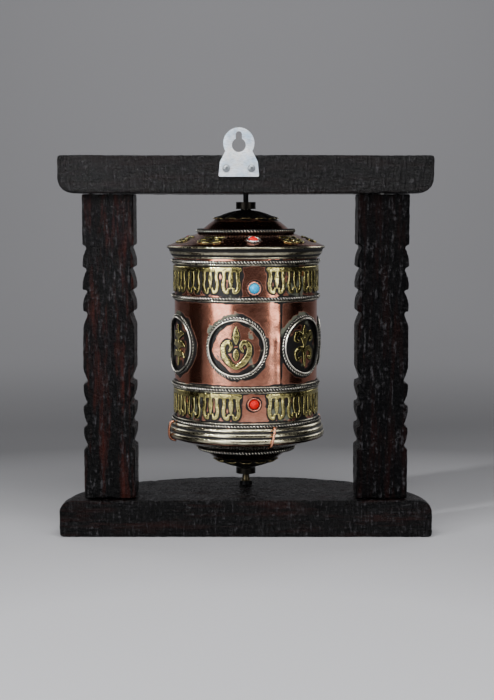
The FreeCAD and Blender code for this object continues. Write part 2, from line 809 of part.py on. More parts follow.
def make_stones():
    inner, outer, high = cells.stone_radius + cells.solder_gap, cells.bezel_radius, cells.bezel_high
    seat = cells.solder_gap
    bezel = [(inner, seat), (outer, seat), (outer - 0.5, high), (inner, high)]
    stone = [(0, seat), (cells.stone_radius, seat), (cells.stone_radius, high),
             (cells.stone_radius * 0.75, cells.stone_high * 0.9), (0, cells.stone_high)]
    lean = math.degrees(math.atan(SIZES["lid_slope"]))
    ring = cells.lid_stone_ring
    for place, seat_radius, seat_height, tilt in (
            ("turquoise", cells.drum_radius, cells.turquoise_z, 90),
            ("coral", cells.drum_radius, cells.low_coral_z, 90),
            ("lid", ring, lid_height(ring), lean)):
        studs(f"{place}_stones", stone, seat_radius, seat_height, tilt)
        studs(f"{place}_bezels", bezel, seat_radius, seat_height, tilt)


def make_lid_motifs():
    """Six brass plates that lie on the top lid, two between neighbouring stones."""
    body = new_body("lid_motifs")
    inner, outer = cells.lid_motif_inner, cells.lid_motif_outer
    plates = []
    for start in (SIZES["lid_motif_near"], SIZES["lid_motif_far"]):
        sketch = new_sketch(body, "Section", "XZ_Plane")
        outline(sketch, [(inner, lid_height(inner)), (outer, lid_height(outer)),
                         (outer, lid_height(outer) + cells.brass_thick),
                         (inner, lid_height(inner) + cells.brass_thick)])
        sketch.AttachmentOffset = FreeCAD.Placement(Vec(), FreeCAD.Rotation(Vec(0, 1, 0), start))
        plates.append(revolve(body, sketch, cells.lid_motif_angle))
    ring_pattern(body, plates, 3)
    turn(body, SIZES["stone_phase"] - 90)


def make_rim_ties():
    """Four copper wires that run down outside the bottom rim and turn in under the lid."""
    body = new_body("rim_ties")
    wire, bend = cells.tie_wire, cells.tie_bend
    reach = cells.low_rim_lip + cells.tie_stand_off + wire
    path = new_sketch(body, "Path", "YZ_Plane")
    foot_z = cells.low_lid_rim_foot - wire - 0.6
    corner = foot_z + bend
    down = path.addGeometry(Part.LineSegment(Vec(-reach.value, SIZES["tie_top"], 0),
                                             Vec(-reach.value, corner.value, 0)))
    place_point(path, down, 1, -reach, cells.tie_top)
    place_point(path, down, 2, -reach, corner)
    centre = Vec(-(reach - bend).value, corner.value, 0)
    elbow = path.addGeometry(Part.ArcOfCircle(Part.Circle(centre, UP, bend.value), math.pi, math.pi * 1.5))
    constrain(path, "Coincident", down, 2, elbow, 1)
    place_point(path, elbow, 3, -(reach - bend), corner)
    constrain(path, "Vertical", elbow, 3, elbow, 2)
    section = new_sketch(body, "Section", "XY_Plane")
    section.setExpression("AttachmentOffset.Base.z", "Sizes.tie_top")
    circle(section, 0, -reach, wire)
    pipe = body.newObject("PartDesign::AdditivePipe", "Wire")
    pipe.Profile = (section, [""])
    pipe.Spine = (path, [""])
    doc.recompute()
    length = (SIZES["tie_top"] - corner.value) + math.pi / 2 * bend.value
    if abs(pipe.Shape.Volume / (math.pi * wire.value ** 2 * length) - 1) > 0.02:
        raise RuntimeError("rim_ties: the wire's volume is wrong")
    ring_pattern(body, [pipe], 4)
    turn(body, SIZES["tie_phase"])


def make_scroll():
    """The rolled paper inside the drum and the two cords that hold it rolled."""
    turned("prayer_scroll", [(cells.tube_outer, cells.scroll_foot), (cells.scroll_outer, cells.scroll_foot),
                             (cells.scroll_outer, cells.scroll_top), (cells.tube_outer, cells.scroll_top)])
    quarter = (cells.scroll_top - cells.scroll_foot) / 4
    ring = cells.scroll_outer + cells.tie_radius + cells.solder_gap
    make_wire_rings("scroll_cords", ring, cells.tie_radius,
                    [cells.scroll_foot + quarter, cells.scroll_top - quarter])


# ---------------------------------------------------------------- build, check and write

make_boards()
make_post("left_post", -cells.post_x)
make_post("right_post", cells.post_x)
low_head = FLOOR + cells.screw_recess
high_head = TOP_OF_WOOD - cells.screw_recess
make_screws("base_screws", low_head, cells.base_thick + cells.screw_bite, 1)
make_screws("top_screws", high_head, TOP_FOOT - cells.screw_bite, -1)
make_hanger()
make_nails()
make_axle()
make_bushes()
make_drum()
make_domes()
make_rims()
make_ropes()
make_bands()
make_medallions()
make_stones()
make_lid_motifs()
make_rim_ties()
make_scroll()
doc.recompute()

for item in doc.Objects:
    if {"Invalid", "Error"} & set(item.State):
        raise RuntimeError(f"{item.Name} in {item.Label} failed: {item.State}")
for name, body in nodes.items():
    if body.Shape.isNull() or not body.Shape.isValid():
        raise RuntimeError(f"{name} has no valid shape")
    body.Shape.exportStep(f"parts/{name}.step")
print(len(nodes), "parts written")
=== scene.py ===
from contextlib import contextmanager
import math

import bmesh
import bpy
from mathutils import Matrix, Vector, noise
from mathutils.bvhtree import BVHTree


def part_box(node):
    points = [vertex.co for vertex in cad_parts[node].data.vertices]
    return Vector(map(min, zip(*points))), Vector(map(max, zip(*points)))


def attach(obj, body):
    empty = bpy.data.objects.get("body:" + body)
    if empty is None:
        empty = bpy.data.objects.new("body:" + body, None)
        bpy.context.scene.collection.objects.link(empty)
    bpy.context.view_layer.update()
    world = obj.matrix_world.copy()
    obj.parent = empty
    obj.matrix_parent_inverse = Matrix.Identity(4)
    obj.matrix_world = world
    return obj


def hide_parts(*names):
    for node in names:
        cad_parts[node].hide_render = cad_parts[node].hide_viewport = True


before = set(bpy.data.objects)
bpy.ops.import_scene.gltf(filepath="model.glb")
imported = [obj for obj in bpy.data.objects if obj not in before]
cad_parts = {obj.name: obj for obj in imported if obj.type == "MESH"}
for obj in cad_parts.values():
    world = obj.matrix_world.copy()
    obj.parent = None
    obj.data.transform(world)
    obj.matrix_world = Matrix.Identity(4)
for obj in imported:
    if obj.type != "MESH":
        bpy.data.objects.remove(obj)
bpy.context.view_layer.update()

MM = 0.001

# ---- Table, backdrop and lamps
# A sweep of pale grey paper runs under the object and up behind it. A softbox on each side and one
# overhead light the front, three more light the backdrop and the back, and a spot picks out the top board.


def pick(*pieces):
    """Makes these the only selected objects, the first of them active."""
    bpy.ops.object.select_all(action="DESELECT")
    for piece in pieces:
        piece.select_set(True)
    bpy.context.view_layer.objects.active = pieces[0]


def apply_place(piece):
    """Moves the object's own place, turn and scale into its mesh."""
    pick(piece)
    bpy.ops.object.transform_apply(location=True, rotation=True, scale=True)


@contextmanager
def mesh_editing(start="SELECT"):
    """Edit mode on the active object, with everything selected to start with, or nothing."""
    bpy.ops.object.mode_set(mode="EDIT")
    bpy.ops.mesh.select_all(action=start)
    yield
    bpy.ops.object.mode_set(mode="OBJECT")


def new_material(name):
    """A material with nothing but its shader and output."""
    material = bpy.data.materials.new(name)
    material.use_nodes = True
    tree = material.node_tree
    return material, tree, tree.nodes["Principled BSDF"]


def set_inputs(tree, node, inputs):
    """Gives a node's inputs plain values, or links them from sockets."""
    for name, value in inputs.items():
        if isinstance(value, bpy.types.NodeSocket):
            tree.links.new(value, node.inputs[name])
        else:
            node.inputs[name].default_value = value


def add_node(tree, kind, inputs, **settings):
    node = tree.nodes.new(kind)
    for name, value in settings.items():
        setattr(node, name, value)
    set_inputs(tree, node, inputs)
    return node


def blend_colours(tree, factor, first, second):
    """Mix node for colours; returns its colour output."""
    return add_node(tree, "ShaderNodeMix", {0: factor, 6: first, 7: second}, data_type="RGBA").outputs[2]


def maths(tree, operation, first, second, clamp=False):
    return add_node(tree, "ShaderNodeMath", {0: first, 1: second}, operation=operation,
                    use_clamp=clamp).outputs[0]


def vector_maths(tree, operation, first, second):
    return add_node(tree, "ShaderNodeVectorMath", {0: first, 1: second}, operation=operation).outputs


def spread(tree, value, low, high, to_low=0.0, to_high=1.0):
    """Maps low..high to to_low..to_high, held at both ends."""
    return add_node(tree, "ShaderNodeMapRange", {"Value": value, "From Min": low, "From Max": high,
                                                 "To Min": to_low, "To Max": to_high}).outputs[0]


def own_place(tree):
    return add_node(tree, "ShaderNodeTexCoord", {}).outputs["Object"]


def clouds(tree, place, scale, detail=2.0, roughness=0.5):
    """Soft noise round 0.5; more detail and roughness make it finer."""
    return add_node(tree, "ShaderNodeTexNoise", {"Vector": place, "Scale": scale, "Detail": detail,
                                                 "Roughness": roughness}).outputs[0]


paper_wide, paper_high, paper_bend = 6.0, 4.0, 1.2
bpy.ops.mesh.primitive_plane_add(size=paper_wide, location=(0, -0.4, 0))
studio_floor = bpy.context.object
studio_floor.name = "studio_floor"
with mesh_editing("DESELECT"):
    bpy.ops.object.mode_set(mode="OBJECT")
    for edge in studio_floor.data.edges:
        edge.select = all(studio_floor.data.vertices[index].co.y > 0 for index in edge.vertices)
    bpy.ops.object.mode_set(mode="EDIT")
    bpy.ops.mesh.extrude_region_move(TRANSFORM_OT_translate={"value": (0, 0, paper_high)})
sweep = studio_floor.modifiers.new("sweep", "BEVEL")
sweep.width = paper_bend
sweep.segments = 16
sweep.limit_method = "ANGLE"
bpy.ops.object.modifier_apply(modifier=sweep.name)
bpy.ops.object.shade_smooth()
apply_place(studio_floor)

paper, paper_tree, paper_shader = new_material("grey_paper")
paper_noise = add_node(paper_tree, "ShaderNodeTexNoise", {"Scale": 3.0, "Detail": 2.0})
# The paper's colour fades from light round the object to dark further off. This is painted falloff of the
# lamps' light, not a change in the paper.
lit_middle = (0.0, -0.42, 0.0)
paper_away = vector_maths(paper_tree, "DISTANCE", own_place(paper_tree), lit_middle)["Value"]
painted_light_falloff = maths(paper_tree, "ADD", spread(paper_tree, paper_away, 0.20, 0.78),
                   spread(paper_tree, paper_noise.outputs[0], 0.3, 0.7, -0.02, 0.02), clamp=True)
# Painted lit and shaded colours of the same paper.
paper_painted_lit, paper_painted_shade = (0.60, 0.60, 0.625, 1), (0.13, 0.13, 0.137, 1)
set_inputs(paper_tree, paper_shader, {
    "Base Color": blend_colours(paper_tree, painted_light_falloff, paper_painted_lit, paper_painted_shade), "Roughness": 0.85})
studio_floor.data.materials.append(paper)


def new_object(name, data):
    """An object in the scene that holds this data."""
    added = bpy.data.objects.new(name, data)
    bpy.context.collection.objects.link(added)
    return added


def soft_lamp(name, place, aim, size, power, opening=180):
    """A rectangular lamp aimed at a point: size in metres, power in watts, opening in degrees."""
    lamp = bpy.data.lights.new(name, "AREA")
    lamp.shape = "RECTANGLE"
    lamp.size, lamp.size_y = size
    lamp.energy = power
    lamp.spread = math.radians(opening)
    holder = new_object(name, lamp)
    holder.location = place
    holder.rotation_euler = (Vector(aim) - Vector(place)).to_track_quat("-Z", "Y").to_euler()


wheel_middle = (0, 0, 0.15)
soft_lamp("left_softbox", (-1.0, -1.25, 0.55), wheel_middle, (0.85, 1.3), 18)
soft_lamp("right_softbox", (1.15, -1.15, 0.55), wheel_middle, (0.36, 1.3), 8)
soft_lamp("overhead_softbox", (0, -0.85, 1.5), (0, -0.55, 0), (1.4, 0.6), 25)
soft_lamp("backdrop_lamp", (0, 1.0, 1.5), (0, 2.6, 0.95), (2.4, 0.3), 55)
soft_lamp("left_back_softbox", (-1.15, 1.0, 0.85), wheel_middle, (0.7, 0.8), 5)
soft_lamp("right_back_softbox", (1.15, 1.0, 0.85), wheel_middle, (0.7, 0.8), 5)
top_board_left = (-0.13, -0.065, 0.275)
soft_lamp("left_spot", (-1.3, -0.9, 1.05), top_board_left, (0.10, 0.10), 0.14, 12)
world = bpy.data.worlds.new("studio_air")
world.use_nodes = True
set_inputs(world.node_tree, world.node_tree.nodes["Background"],
           {"Color": (0.20, 0.20, 0.22, 1), "Strength": 0.26})
bpy.context.scene.world = world

camera = bpy.data.cameras.new("camera")
camera.sensor_fit = "VERTICAL"
camera.sensor_height = 36.0
camera.lens = 73.8
camera_holder = new_object("camera", camera)
camera_holder.location = (0.0009, -1.115, 0.2411)
camera_tilt = 5.49
camera_holder.rotation_euler = (math.radians(90 - camera_tilt), 0, 0)
bpy.context.scene.camera = camera_holder

# ---- Boards and posts
# Four pieces of soft wood, sawn and then carved by hand: half-moon boards and two notched posts. The tool
# leaves flats and small dips, and a nearly black stain lets a red undertone through where it is thin.

tool_flat_depth = 0.9 * MM
wood_cell = 1.15 * MM
same_corner = 0.01 * MM
grain_along_z = (1.0, 1.0, 0.10)
grain_along_x = (0.10, 1.0, 1.0)


def copy_of_node(node, name):
    """A merged copy of a CAD node's mesh, as a piece of its own."""
    piece = new_object(name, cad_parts[node].data.copy())
    pick(piece)
    with mesh_editing():
        bpy.ops.mesh.remove_doubles(threshold=same_corner)
    return piece


def finish(piece, body, material, slot, *nodes):
    """Gives a finished piece its material and its body, and hides the CAD nodes it stands for."""
    piece.data.materials.clear()
    piece.data.materials.append(material)
    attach(piece, body)
    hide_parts(*nodes)
    return piece


def apply_modifiers(piece):
    pick(piece)
    for modifier in list(piece.modifiers):
        bpy.ops.object.modifier_apply(modifier=modifier.name)


def rough_out(piece, stretch):
    """Re-meshes a sawn piece and wears it with shallow tool flats that run with the grain."""
    remesh = piece.modifiers.new("even_mesh", "REMESH")
    remesh.mode = "VOXEL"
    remesh.voxel_size = wood_cell
    soften = piece.modifiers.new("soft_edges", "SMOOTH")
    soften.factor = 0.5
    soften.iterations = 1
    apply_modifiers(piece)
    outwards = [vertex.normal.copy() for vertex in piece.data.vertices]
    for vertex, outward in zip(piece.data.vertices, outwards):
        spot = Vector(part * factor for part, factor in zip(vertex.co, stretch))
        flats = noise.noise(spot * 120) + 0.7 * noise.noise(vertex.co * 330 + Vector((7, 3, 1)))
        chips = max(0.0, noise.noise(vertex.co * 75 + Vector((2, 9, 4))) - 0.25)
        vertex.co -= outward * tool_flat_depth * min(0.95, max(0.0, 0.36 + 0.36 * flats + 1.2 * chips))
    bpy.ops.object.shade_smooth()


def new_group(name, inputs, outputs):
    """A node group with float or vector inputs and float outputs; returns it with its two end nodes."""
    group = bpy.data.node_groups.new(name, "ShaderNodeTree")
    for label, start in inputs.items():
        kind = "NodeSocketFloat" if isinstance(start, float) else "NodeSocketVector"
        group.interface.new_socket(label, in_out="INPUT", socket_type=kind).default_value = start
    for label in outputs:
        group.interface.new_socket(label, in_out="OUTPUT", socket_type="NodeSocketFloat")
    return group, group.nodes.new("NodeGroupInput"), group.nodes.new("NodeGroupOutput")


def use_group(tree, group, **inputs):
    return add_node(tree, "ShaderNodeGroup", inputs, node_tree=group)


grain, grain_in, grain_out = new_group("Stained_grain", {"Stretch": (1.0, 1.0, 1.0)},
                                       ("Grain", "Streaks", "Relief"))
grain_place = own_place(grain)
grain_stretched = vector_maths(grain, "MULTIPLY", grain_place, grain_in.outputs["Stretch"])[0]
grain_fine = clouds(grain, grain_stretched, 620.0, 6.0, 0.65)
grain_streaks = clouds(grain, grain_stretched, 190.0, 6.0, 0.7)
grain_dips = clouds(grain, grain_place, 340.0, 3.0, 0.6)
grain_upright = vector_maths(grain, "MULTIPLY", grain_place, (1.0, 1.0, 0.16))[0]
grain_saw_marks = clouds(grain, grain_upright, 560.0)
grain_specks = clouds(grain, grain_place, 1500.0, 3.0)
grain_hollows = maths(grain, "ADD", maths(grain, "MULTIPLY", grain_dips, 0.5),
                      maths(grain, "MULTIPLY", grain_saw_marks, 0.5))
grain_pores = maths(grain, "ADD", maths(grain, "MULTIPLY", grain_fine, 0.35),
                    maths(grain, "MULTIPLY", grain_specks, 0.15))
set_inputs(grain, grain_out, {"Grain": grain_fine, "Streaks": spread(grain, grain_streaks, 0.50, 0.72),
                              "Relief": maths(grain, "ADD", grain_hollows, grain_pores)})


def stained_wood(name, stretch, red, gloss, polish):
    """Nearly black stain over soft wood; red is how far the undertone shows, polish how much wax it has."""
    material, tree, shader = new_material(name)
    wood = use_group(tree, grain, Stretch=stretch)
    relief = wood.outputs["Relief"]
    dark = blend_colours(tree, wood.outputs["Grain"], (0.0003, 0.0003, 0.0004, 1),
                         (0.0014, 0.0013, 0.0016, 1))
    undertone = maths(tree, "MULTIPLY", wood.outputs["Streaks"], red, clamp=True)
    stained = blend_colours(tree, undertone, dark, (0.050, 0.0095, 0.006, 1))
    # Lighter specks on the highest points of the relief are painted glints. They stand in for small
    # highlights on the rough varnish.
    painted_glints = blend_colours(tree, spread(tree, relief, 0.80, 0.96), stained, (0.046, 0.044, 0.048, 1))
    bump = add_node(tree, "ShaderNodeBump", {"Strength": 1.0, "Distance": 0.0030, "Height": relief})
    set_inputs(tree, shader, {"Base Color": painted_glints,
                              "Roughness": spread(tree, relief, 0.55, 0.95, 0.38, 0.20),
                              "Specular IOR Level": gloss, "Coat Weight": polish, "Coat Roughness": 0.16,
                              "Normal": bump.outputs[0], "Coat Normal": bump.outputs[0]})
    return material


for node, stretch, red, gloss, polish in (("base_board", grain_along_x, 0.30, 0.06, 0.12),
                                          ("top_board", grain_along_x, 0.12, 0.10, 0.24),
                                          ("left_post", grain_along_z, 0.75, 0.07, 0.07),
                                          ("right_post", grain_along_z, 0.15, 0.04, 0.04)):
    carved = copy_of_node(node, f"{node}_carved")
    rough_out(carved, stretch)
    stain = stained_wood(f"stain_on_{node}", stretch, red, gloss, polish)
    finish(carved, "frame", stain, "dark_wood", node)

# ---- Worn metal, shared by every metal piece
# Hand polishing leaves cloudy patches and fine scratches, and dark tarnish stays in the hollows.

metal, metal_in, metal_out = new_group("Worn_metal", {"Size": 1.0}, ("Clouds", "Scratches", "Dents"))
metal_size = add_node(metal, "ShaderNodeVectorMath",
                      {0: own_place(metal), "Scale": metal_in.outputs["Size"]}, operation="SCALE").outputs[0]
metal_clouds = clouds(metal, metal_size, 90.0, 6.0, 0.6)
metal_thin = vector_maths(metal, "MULTIPLY", metal_size, (1.0, 1.0, 7.0))[0]
metal_lines = clouds(metal, metal_thin, 420.0, 4.0)
metal_dents = clouds(metal, metal_size, 240.0)
set_inputs(metal, metal_out, {"Clouds": metal_clouds, "Scratches": spread(metal, metal_lines, 0.35, 0.7),
                              "Dents": metal_dents})


def worn_metal(name, bright, dull, shine=(0.20, 0.42), dents=0.25):
    """Metal that drifts from bright to dull, black where the mesh's own tarnish value is high."""
    material, tree, shader = new_material(name)
    worn = use_group(tree, metal, Size=1.0)
    hollow = add_node(tree, "ShaderNodeAttribute", {}, attribute_name="tarnish").outputs["Fac"]
    ragged = maths(tree, "ADD", hollow, spread(tree, worn.outputs["Clouds"], 0.3, 0.7, -0.25, 0.25))
    black = maths(tree, "MULTIPLY", spread(tree, ragged, 0.30, 0.62), spread(tree, hollow, 0.02, 0.2))
    plain = blend_colours(tree, spread(tree, worn.outputs["Clouds"], 0.35, 0.65), bright, dull)
    blackened_metal = blend_colours(tree, black, plain, (0.010, 0.009, 0.009, 1))
    crust = add_node(tree, "ShaderNodeAttribute", {}, attribute_name="solder").outputs["Fac"]
    crust = spread(tree, maths(tree, "ADD", crust, spread(tree, worn.outputs["Dents"], 0.3, 0.7, -0.4, 0.4)),
                   0.5, 0.8)
    polish = spread(tree, worn.outputs["Scratches"], 0.0, 1.0, *shine)
    matt = maths(tree, "ADD", maths(tree, "MULTIPLY", black, 0.25), maths(tree, "MULTIPLY", crust, 0.3))
    bump = add_node(tree, "ShaderNodeBump", {"Strength": dents, "Distance": 0.0006,
                                             "Height": worn.outputs["Dents"]})
    set_inputs(tree, shader, {
        "Base Color": blend_colours(tree, crust, blackened_metal, (0.15, 0.16, 0.12, 1)),
        "Roughness": maths(tree, "ADD", polish, matt), "Normal": bump.outputs[0],
        "Metallic": spread(tree, maths(tree, "ADD", black, crust), 0.0, 1.0, 1.0, 0.35)})
    return material


def dress(material, *nodes):
    """A CAD node keeps its shape and gets this material."""
    for node in nodes:
        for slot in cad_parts[node].material_slots:
            slot.material = material


def paint(piece, value_at, layer_name="tarnish"):
    """Stores how tarnished each point of the mesh is, from 0 to 1."""
    layer = piece.data.attributes.new(layer_name, "FLOAT", "POINT")
    for vertex in piece.data.vertices:
        layer.data[vertex.index].value = value_at(vertex.co)


def ramp(low, high, value):
    """0 below low, 1 above high, smooth between; the other way round where low is the greater."""
    share = min(max((value - low) / (high - low), 0.0), 1.0)
    return share * share * (3 - 2 * share)


def from_rod(spot):
    """How far a point is from the wheel's axis."""
    return math.hypot(spot.x, spot.y)


# ---- Hanger plate
# A stamped zinc plate with a keyhole, nailed to the flat side of the top board by two round-head nails.

zinc, zinc_tree, zinc_shader = new_material("bright_zinc")
zinc_worn = use_group(zinc_tree, metal, Size=0.8)
zinc_clouds = spread(zinc_tree, zinc_worn.outputs["Clouds"], 0.35, 0.65)
set_inputs(zinc_tree, zinc_shader, {
    "Base Color": blend_colours(zinc_tree, zinc_clouds, (1.0, 1.0, 1.0, 1), (0.46, 0.64, 0.84, 1)),
    "Roughness": spread(zinc_tree, zinc_worn.outputs["Scratches"], 0.0, 1.0, 0.22, 0.40),
    "Metallic": 0.22})
plate = copy_of_node("hanger_plate", "hanger_plate_stamped")
with mesh_editing():
    bpy.ops.mesh.dissolve_limited(angle_limit=math.radians(1))
stamped_edge = plate.modifiers.new("stamped_edge", "BEVEL")
stamped_edge.width = 0.22 * MM
stamped_edge.segments = 2
stamped_edge.limit_method = "ANGLE"
apply_modifiers(plate)
bpy.ops.object.shade_smooth_by_angle(angle=math.radians(40))
finish(plate, "frame", zinc, "zinc", "hanger_plate")

nail_zinc = worn_metal("nail_zinc", (0.42, 0.45, 0.48, 1), (0.22, 0.24, 0.26, 1), shine=(0.25, 0.45))
nails_low, nails_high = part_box("hanger_nails")
nail_head = (nails_high.z - nails_low.z) / 2
nail_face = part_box("hanger_plate")[0].y
nail_pair = []
for name, x in (("left_nail_head", nails_low.x + nail_head), ("right_nail_head", nails_high.x - nail_head)):
    bpy.ops.mesh.primitive_uv_sphere_add(segments=32, ring_count=16, radius=nail_head,
                                         location=(x, nail_face, (nails_low.z + nails_high.z) / 2))
    head = bpy.context.object
    head.name = name
    head.scale.y = (nail_face - nails_low.y) / nail_head
    apply_place(head)
    with mesh_editing():
        bpy.ops.mesh.bisect(plane_co=(0, nail_face, 0), plane_no=(0, 1, 0), use_fill=True, clear_outer=True,
                            threshold=0.001 * MM)
    bpy.ops.object.shade_smooth_by_angle(angle=math.radians(40))
    nail_pair.append(head)
finish(nail_pair[0], "frame", nail_zinc, "zinc", "hanger_nails")
nail_pair[1].data.materials.append(nail_zinc)
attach(nail_pair[1], "frame")

# ---- Axle, screws and the wheel's inner pieces
# A black iron rod between the boards carries a washer and a brass bead. The bushes, the tube, the paper
# roll and the screws keep their turned shapes and only need their finish.

iron = worn_metal("black_iron", (0.020, 0.020, 0.021, 1), (0.010, 0.010, 0.011, 1), shine=(0.35, 0.55))
steel = worn_metal("screw_steel", (0.55, 0.55, 0.55, 1), (0.42, 0.42, 0.43, 1))
bead_brass = worn_metal("bead_brass", (0.085, 0.070, 0.040, 1), (0.030, 0.025, 0.016, 1), shine=(0.25, 0.45))
blackened = worn_metal("blackened_brass", (0.030, 0.027, 0.022, 1), (0.012, 0.011, 0.010, 1),
                       shine=(0.30, 0.50))
dress(iron, "axle_rod", "axle_washer")
dress(steel, "top_screws", "base_screws")
dress(bead_brass, "pivot_bead", "axle_tube")
dress(blackened, "top_collar", "bottom_collar")

scroll_paper, scroll_tree, scroll_shader = new_material("rolled_paper")
scroll_layers = add_node(scroll_tree, "ShaderNodeTexWave",
                         {"Vector": own_place(scroll_tree), "Scale": 900.0, "Distortion": 1.5},
                         wave_type="RINGS", rings_direction="Z").outputs[1]
scroll_colour = blend_colours(scroll_tree, scroll_layers, (0.50, 0.40, 0.25, 1), (0.74, 0.65, 0.47, 1))
set_inputs(scroll_tree, scroll_shader, {"Base Color": scroll_colour, "Roughness": 0.9})
dress(scroll_paper, "prayer_scroll")

cord_red, cord_tree, cord_shader = new_material("red_cotton")
cord_fibres = clouds(cord_tree, own_place(cord_tree), 1800.0)
cord_colour = blend_colours(cord_tree, cord_fibres, (0.30, 0.02, 0.02, 1), (0.60, 0.08, 0.06, 1))
set_inputs(cord_tree, cord_shader, {"Base Color": cord_colour, "Roughness": 0.95})
dress(cord_red, "scroll_cords")

# ---- Brass fretwork bands
# Thin brass sheet, sawn by hand into a bar with leaves and paired scrolls that hang from it, and soldered
# round the drum in three lengths above and three below.

shell_low, shell_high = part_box("drum_shell")
drum_radius = shell_high.x
brass_thick = 1.0 * MM
saw_cell = 0.36 * MM
path_steps = 6
end_sides = 14
thinnest_round_end = 0.3


def smooth_path(points):
    """A smooth run of (x, z, half width) through the points."""
    ends = [points[0]] + list(points) + [points[-1]]
    path = []
    for before, start, finish_point, after in zip(ends, ends[1:], ends[2:], ends[3:]):
        for step in range(path_steps):
            share = step / path_steps
            path.append([0.5 * (2 * b + (c - a) * share + (2 * a - 5 * b + 4 * c - d) * share ** 2
                                + (3 * b - a - 3 * c + d) * share ** 3)
                         for a, b, c, d in zip(before, start, finish_point, after)])
    path.append(list(points[-1]))
    return path


def add_stroke(sheet_mesh, points):
    """One flat stroke with round ends, as faces in the XZ plane; sizes in millimetres."""
    path = smooth_path(points)
    sides = []
    for index, (x, z, half) in enumerate(path):
        ahead = path[min(index + 1, len(path) - 1)]
        behind = path[max(index - 1, 0)]
        along = Vector((ahead[0] - behind[0], ahead[1] - behind[1])).normalized()
        across = Vector((-along.y, along.x)) * half
        sides.append([sheet_mesh.verts.new(((x + sign * across.x) * MM, 0, (z + sign * across.y) * MM))
                      for sign in (1, -1)])
    for (left, right), (next_left, next_right) in zip(sides, sides[1:]):
        sheet_mesh.faces.new((left, right, next_right, next_left))
    for x, z, half in (path[0], path[-1]):
        if half < thinnest_round_end:
            continue
        ring = [sheet_mesh.verts.new(((x + half * math.cos(turn)) * MM, 0, (z + half * math.sin(turn)) * MM))
                for turn in [2 * math.pi * step / end_sides for step in range(end_sides)]]
        sheet_mesh.faces.new(ring)


def sawn_plate(name, strokes):
    """Strokes joined into one brass plate with softened sawn edges."""
    sheet_mesh = bmesh.new()
    for points in strokes:
        add_stroke(sheet_mesh, points)
    for face in sheet_mesh.faces:
        face.normal_update()
        if face.normal.y > 0:
            face.normal_flip()
    mesh = bpy.data.meshes.new(name)
    sheet_mesh.to_mesh(mesh)
    sheet_mesh.free()
    piece = new_object(name, mesh)
    solid = piece.modifiers.new("thickness", "SOLIDIFY")
    solid.thickness = brass_thick
    solid.offset = 1.0
    union = piece.modifiers.new("one_plate", "REMESH")
    union.mode = "VOXEL"
    union.voxel_size = saw_cell
    soften = piece.modifiers.new("filed_edges", "SMOOTH")
    soften.factor = 0.5
    soften.iterations = 3
    apply_modifiers(piece)
    bpy.ops.object.shade_smooth()
    return piece


def wrap_round(piece, radius, phase):
    """Rolls a flat piece round the wheel: x becomes the arc, and -y stands outwards."""
    for vertex in piece.data.vertices:
        x, y, z = vertex.co
        turn = math.radians(phase) + x / radius
        reach = radius - y
        vertex.co = (reach * math.sin(turn), -reach * math.cos(turn), z)
    piece.data.update()


def lift(piece, height, outwards=0.0):
    for vertex in piece.data.vertices:
        vertex.co.y -= outwards
        vertex.co.z += height


units_per_panel = 6
unit_wide, unit_high = 16.3, 20.5
panel_arc = math.radians(101.0) * drum_radius
first_panel_phase = 66.5
bar_half = 1.75
bar_end = 1.6
hanging_leaf = (((8.15, 17.6, 1.0), (8.15, 13.2, 1.9), (8.15, 9.0, 1.6), (8.15, 5.2, 0.5)),)
paired_scrolls = (
    ((2.7, 18.0, 1.5), (3.1, 13.0, 1.4), (2.3, 8.0, 1.5), (3.1, 3.6, 1.4), (5.7, 2.2, 1.2), (6.3, 5.0, 0.8)),
)


def mirrored(strokes, middle=0.0):
    """The strokes and their mirror images about an upright line."""
    return list(strokes) + [[(2 * middle - x, z, half) for x, z, half in points] for points in strokes]


pale_brass = worn_metal("pale_brass", (0.70, 0.62, 0.25, 1), (0.36, 0.31, 0.11, 1), shine=(0.12, 0.30),
                        dents=0.8)
soldered_on = []
for band in ("upper", "lower"):
    for number in range(3):
        node = f"{band}_fret_panel_{number + 1}"
        low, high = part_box(node)
        deep = (high.z - low.z) / MM
        length = panel_arc / MM
        pitch = length / units_per_panel
        reach = length / 2 - bar_end
        strokes = [((-reach, deep - 1.9, bar_half), (-length / 6, deep - 2.1, bar_half),
                    (length / 6, deep - 1.9, bar_half), (reach, deep - 2.0, bar_half))]
        for place in range(units_per_panel):
            left = -length / 2 + pitch * place
            for points in list(hanging_leaf) + mirrored(paired_scrolls, unit_wide / 2):
                strokes.append([(min(max(left + x * pitch / unit_wide, -reach), reach),
                                 z * deep / unit_high, half) for x, z, half in points])
        fret = sawn_plate(f"{node}_sawn", strokes)
        lift(fret, low.z)
        wrap_round(fret, drum_radius, first_panel_phase + 120 * number)
        finish(fret, "wheel", pale_brass, "brass", node)
        soldered_on.append(fret)

# ---- Twisted ropes and plain wires
# Two white-brass wires twisted into a rope, soldered round the drum between plain wires, and again round
# the foot of each dome. Tarnish stays black between the strands.

white_metal = worn_metal("white_metal", (0.95, 0.92, 0.82, 1), (0.62, 0.59, 0.48, 1), shine=(0.16, 0.34))
plain_wire_metal = worn_metal("drawn_wire", (0.42, 0.40, 0.32, 1), (0.14, 0.13, 0.10, 1), shine=(0.18, 0.36))
strands_apart = 2.35 * MM
strand_sides = 10
same_end = 0.02 * MM


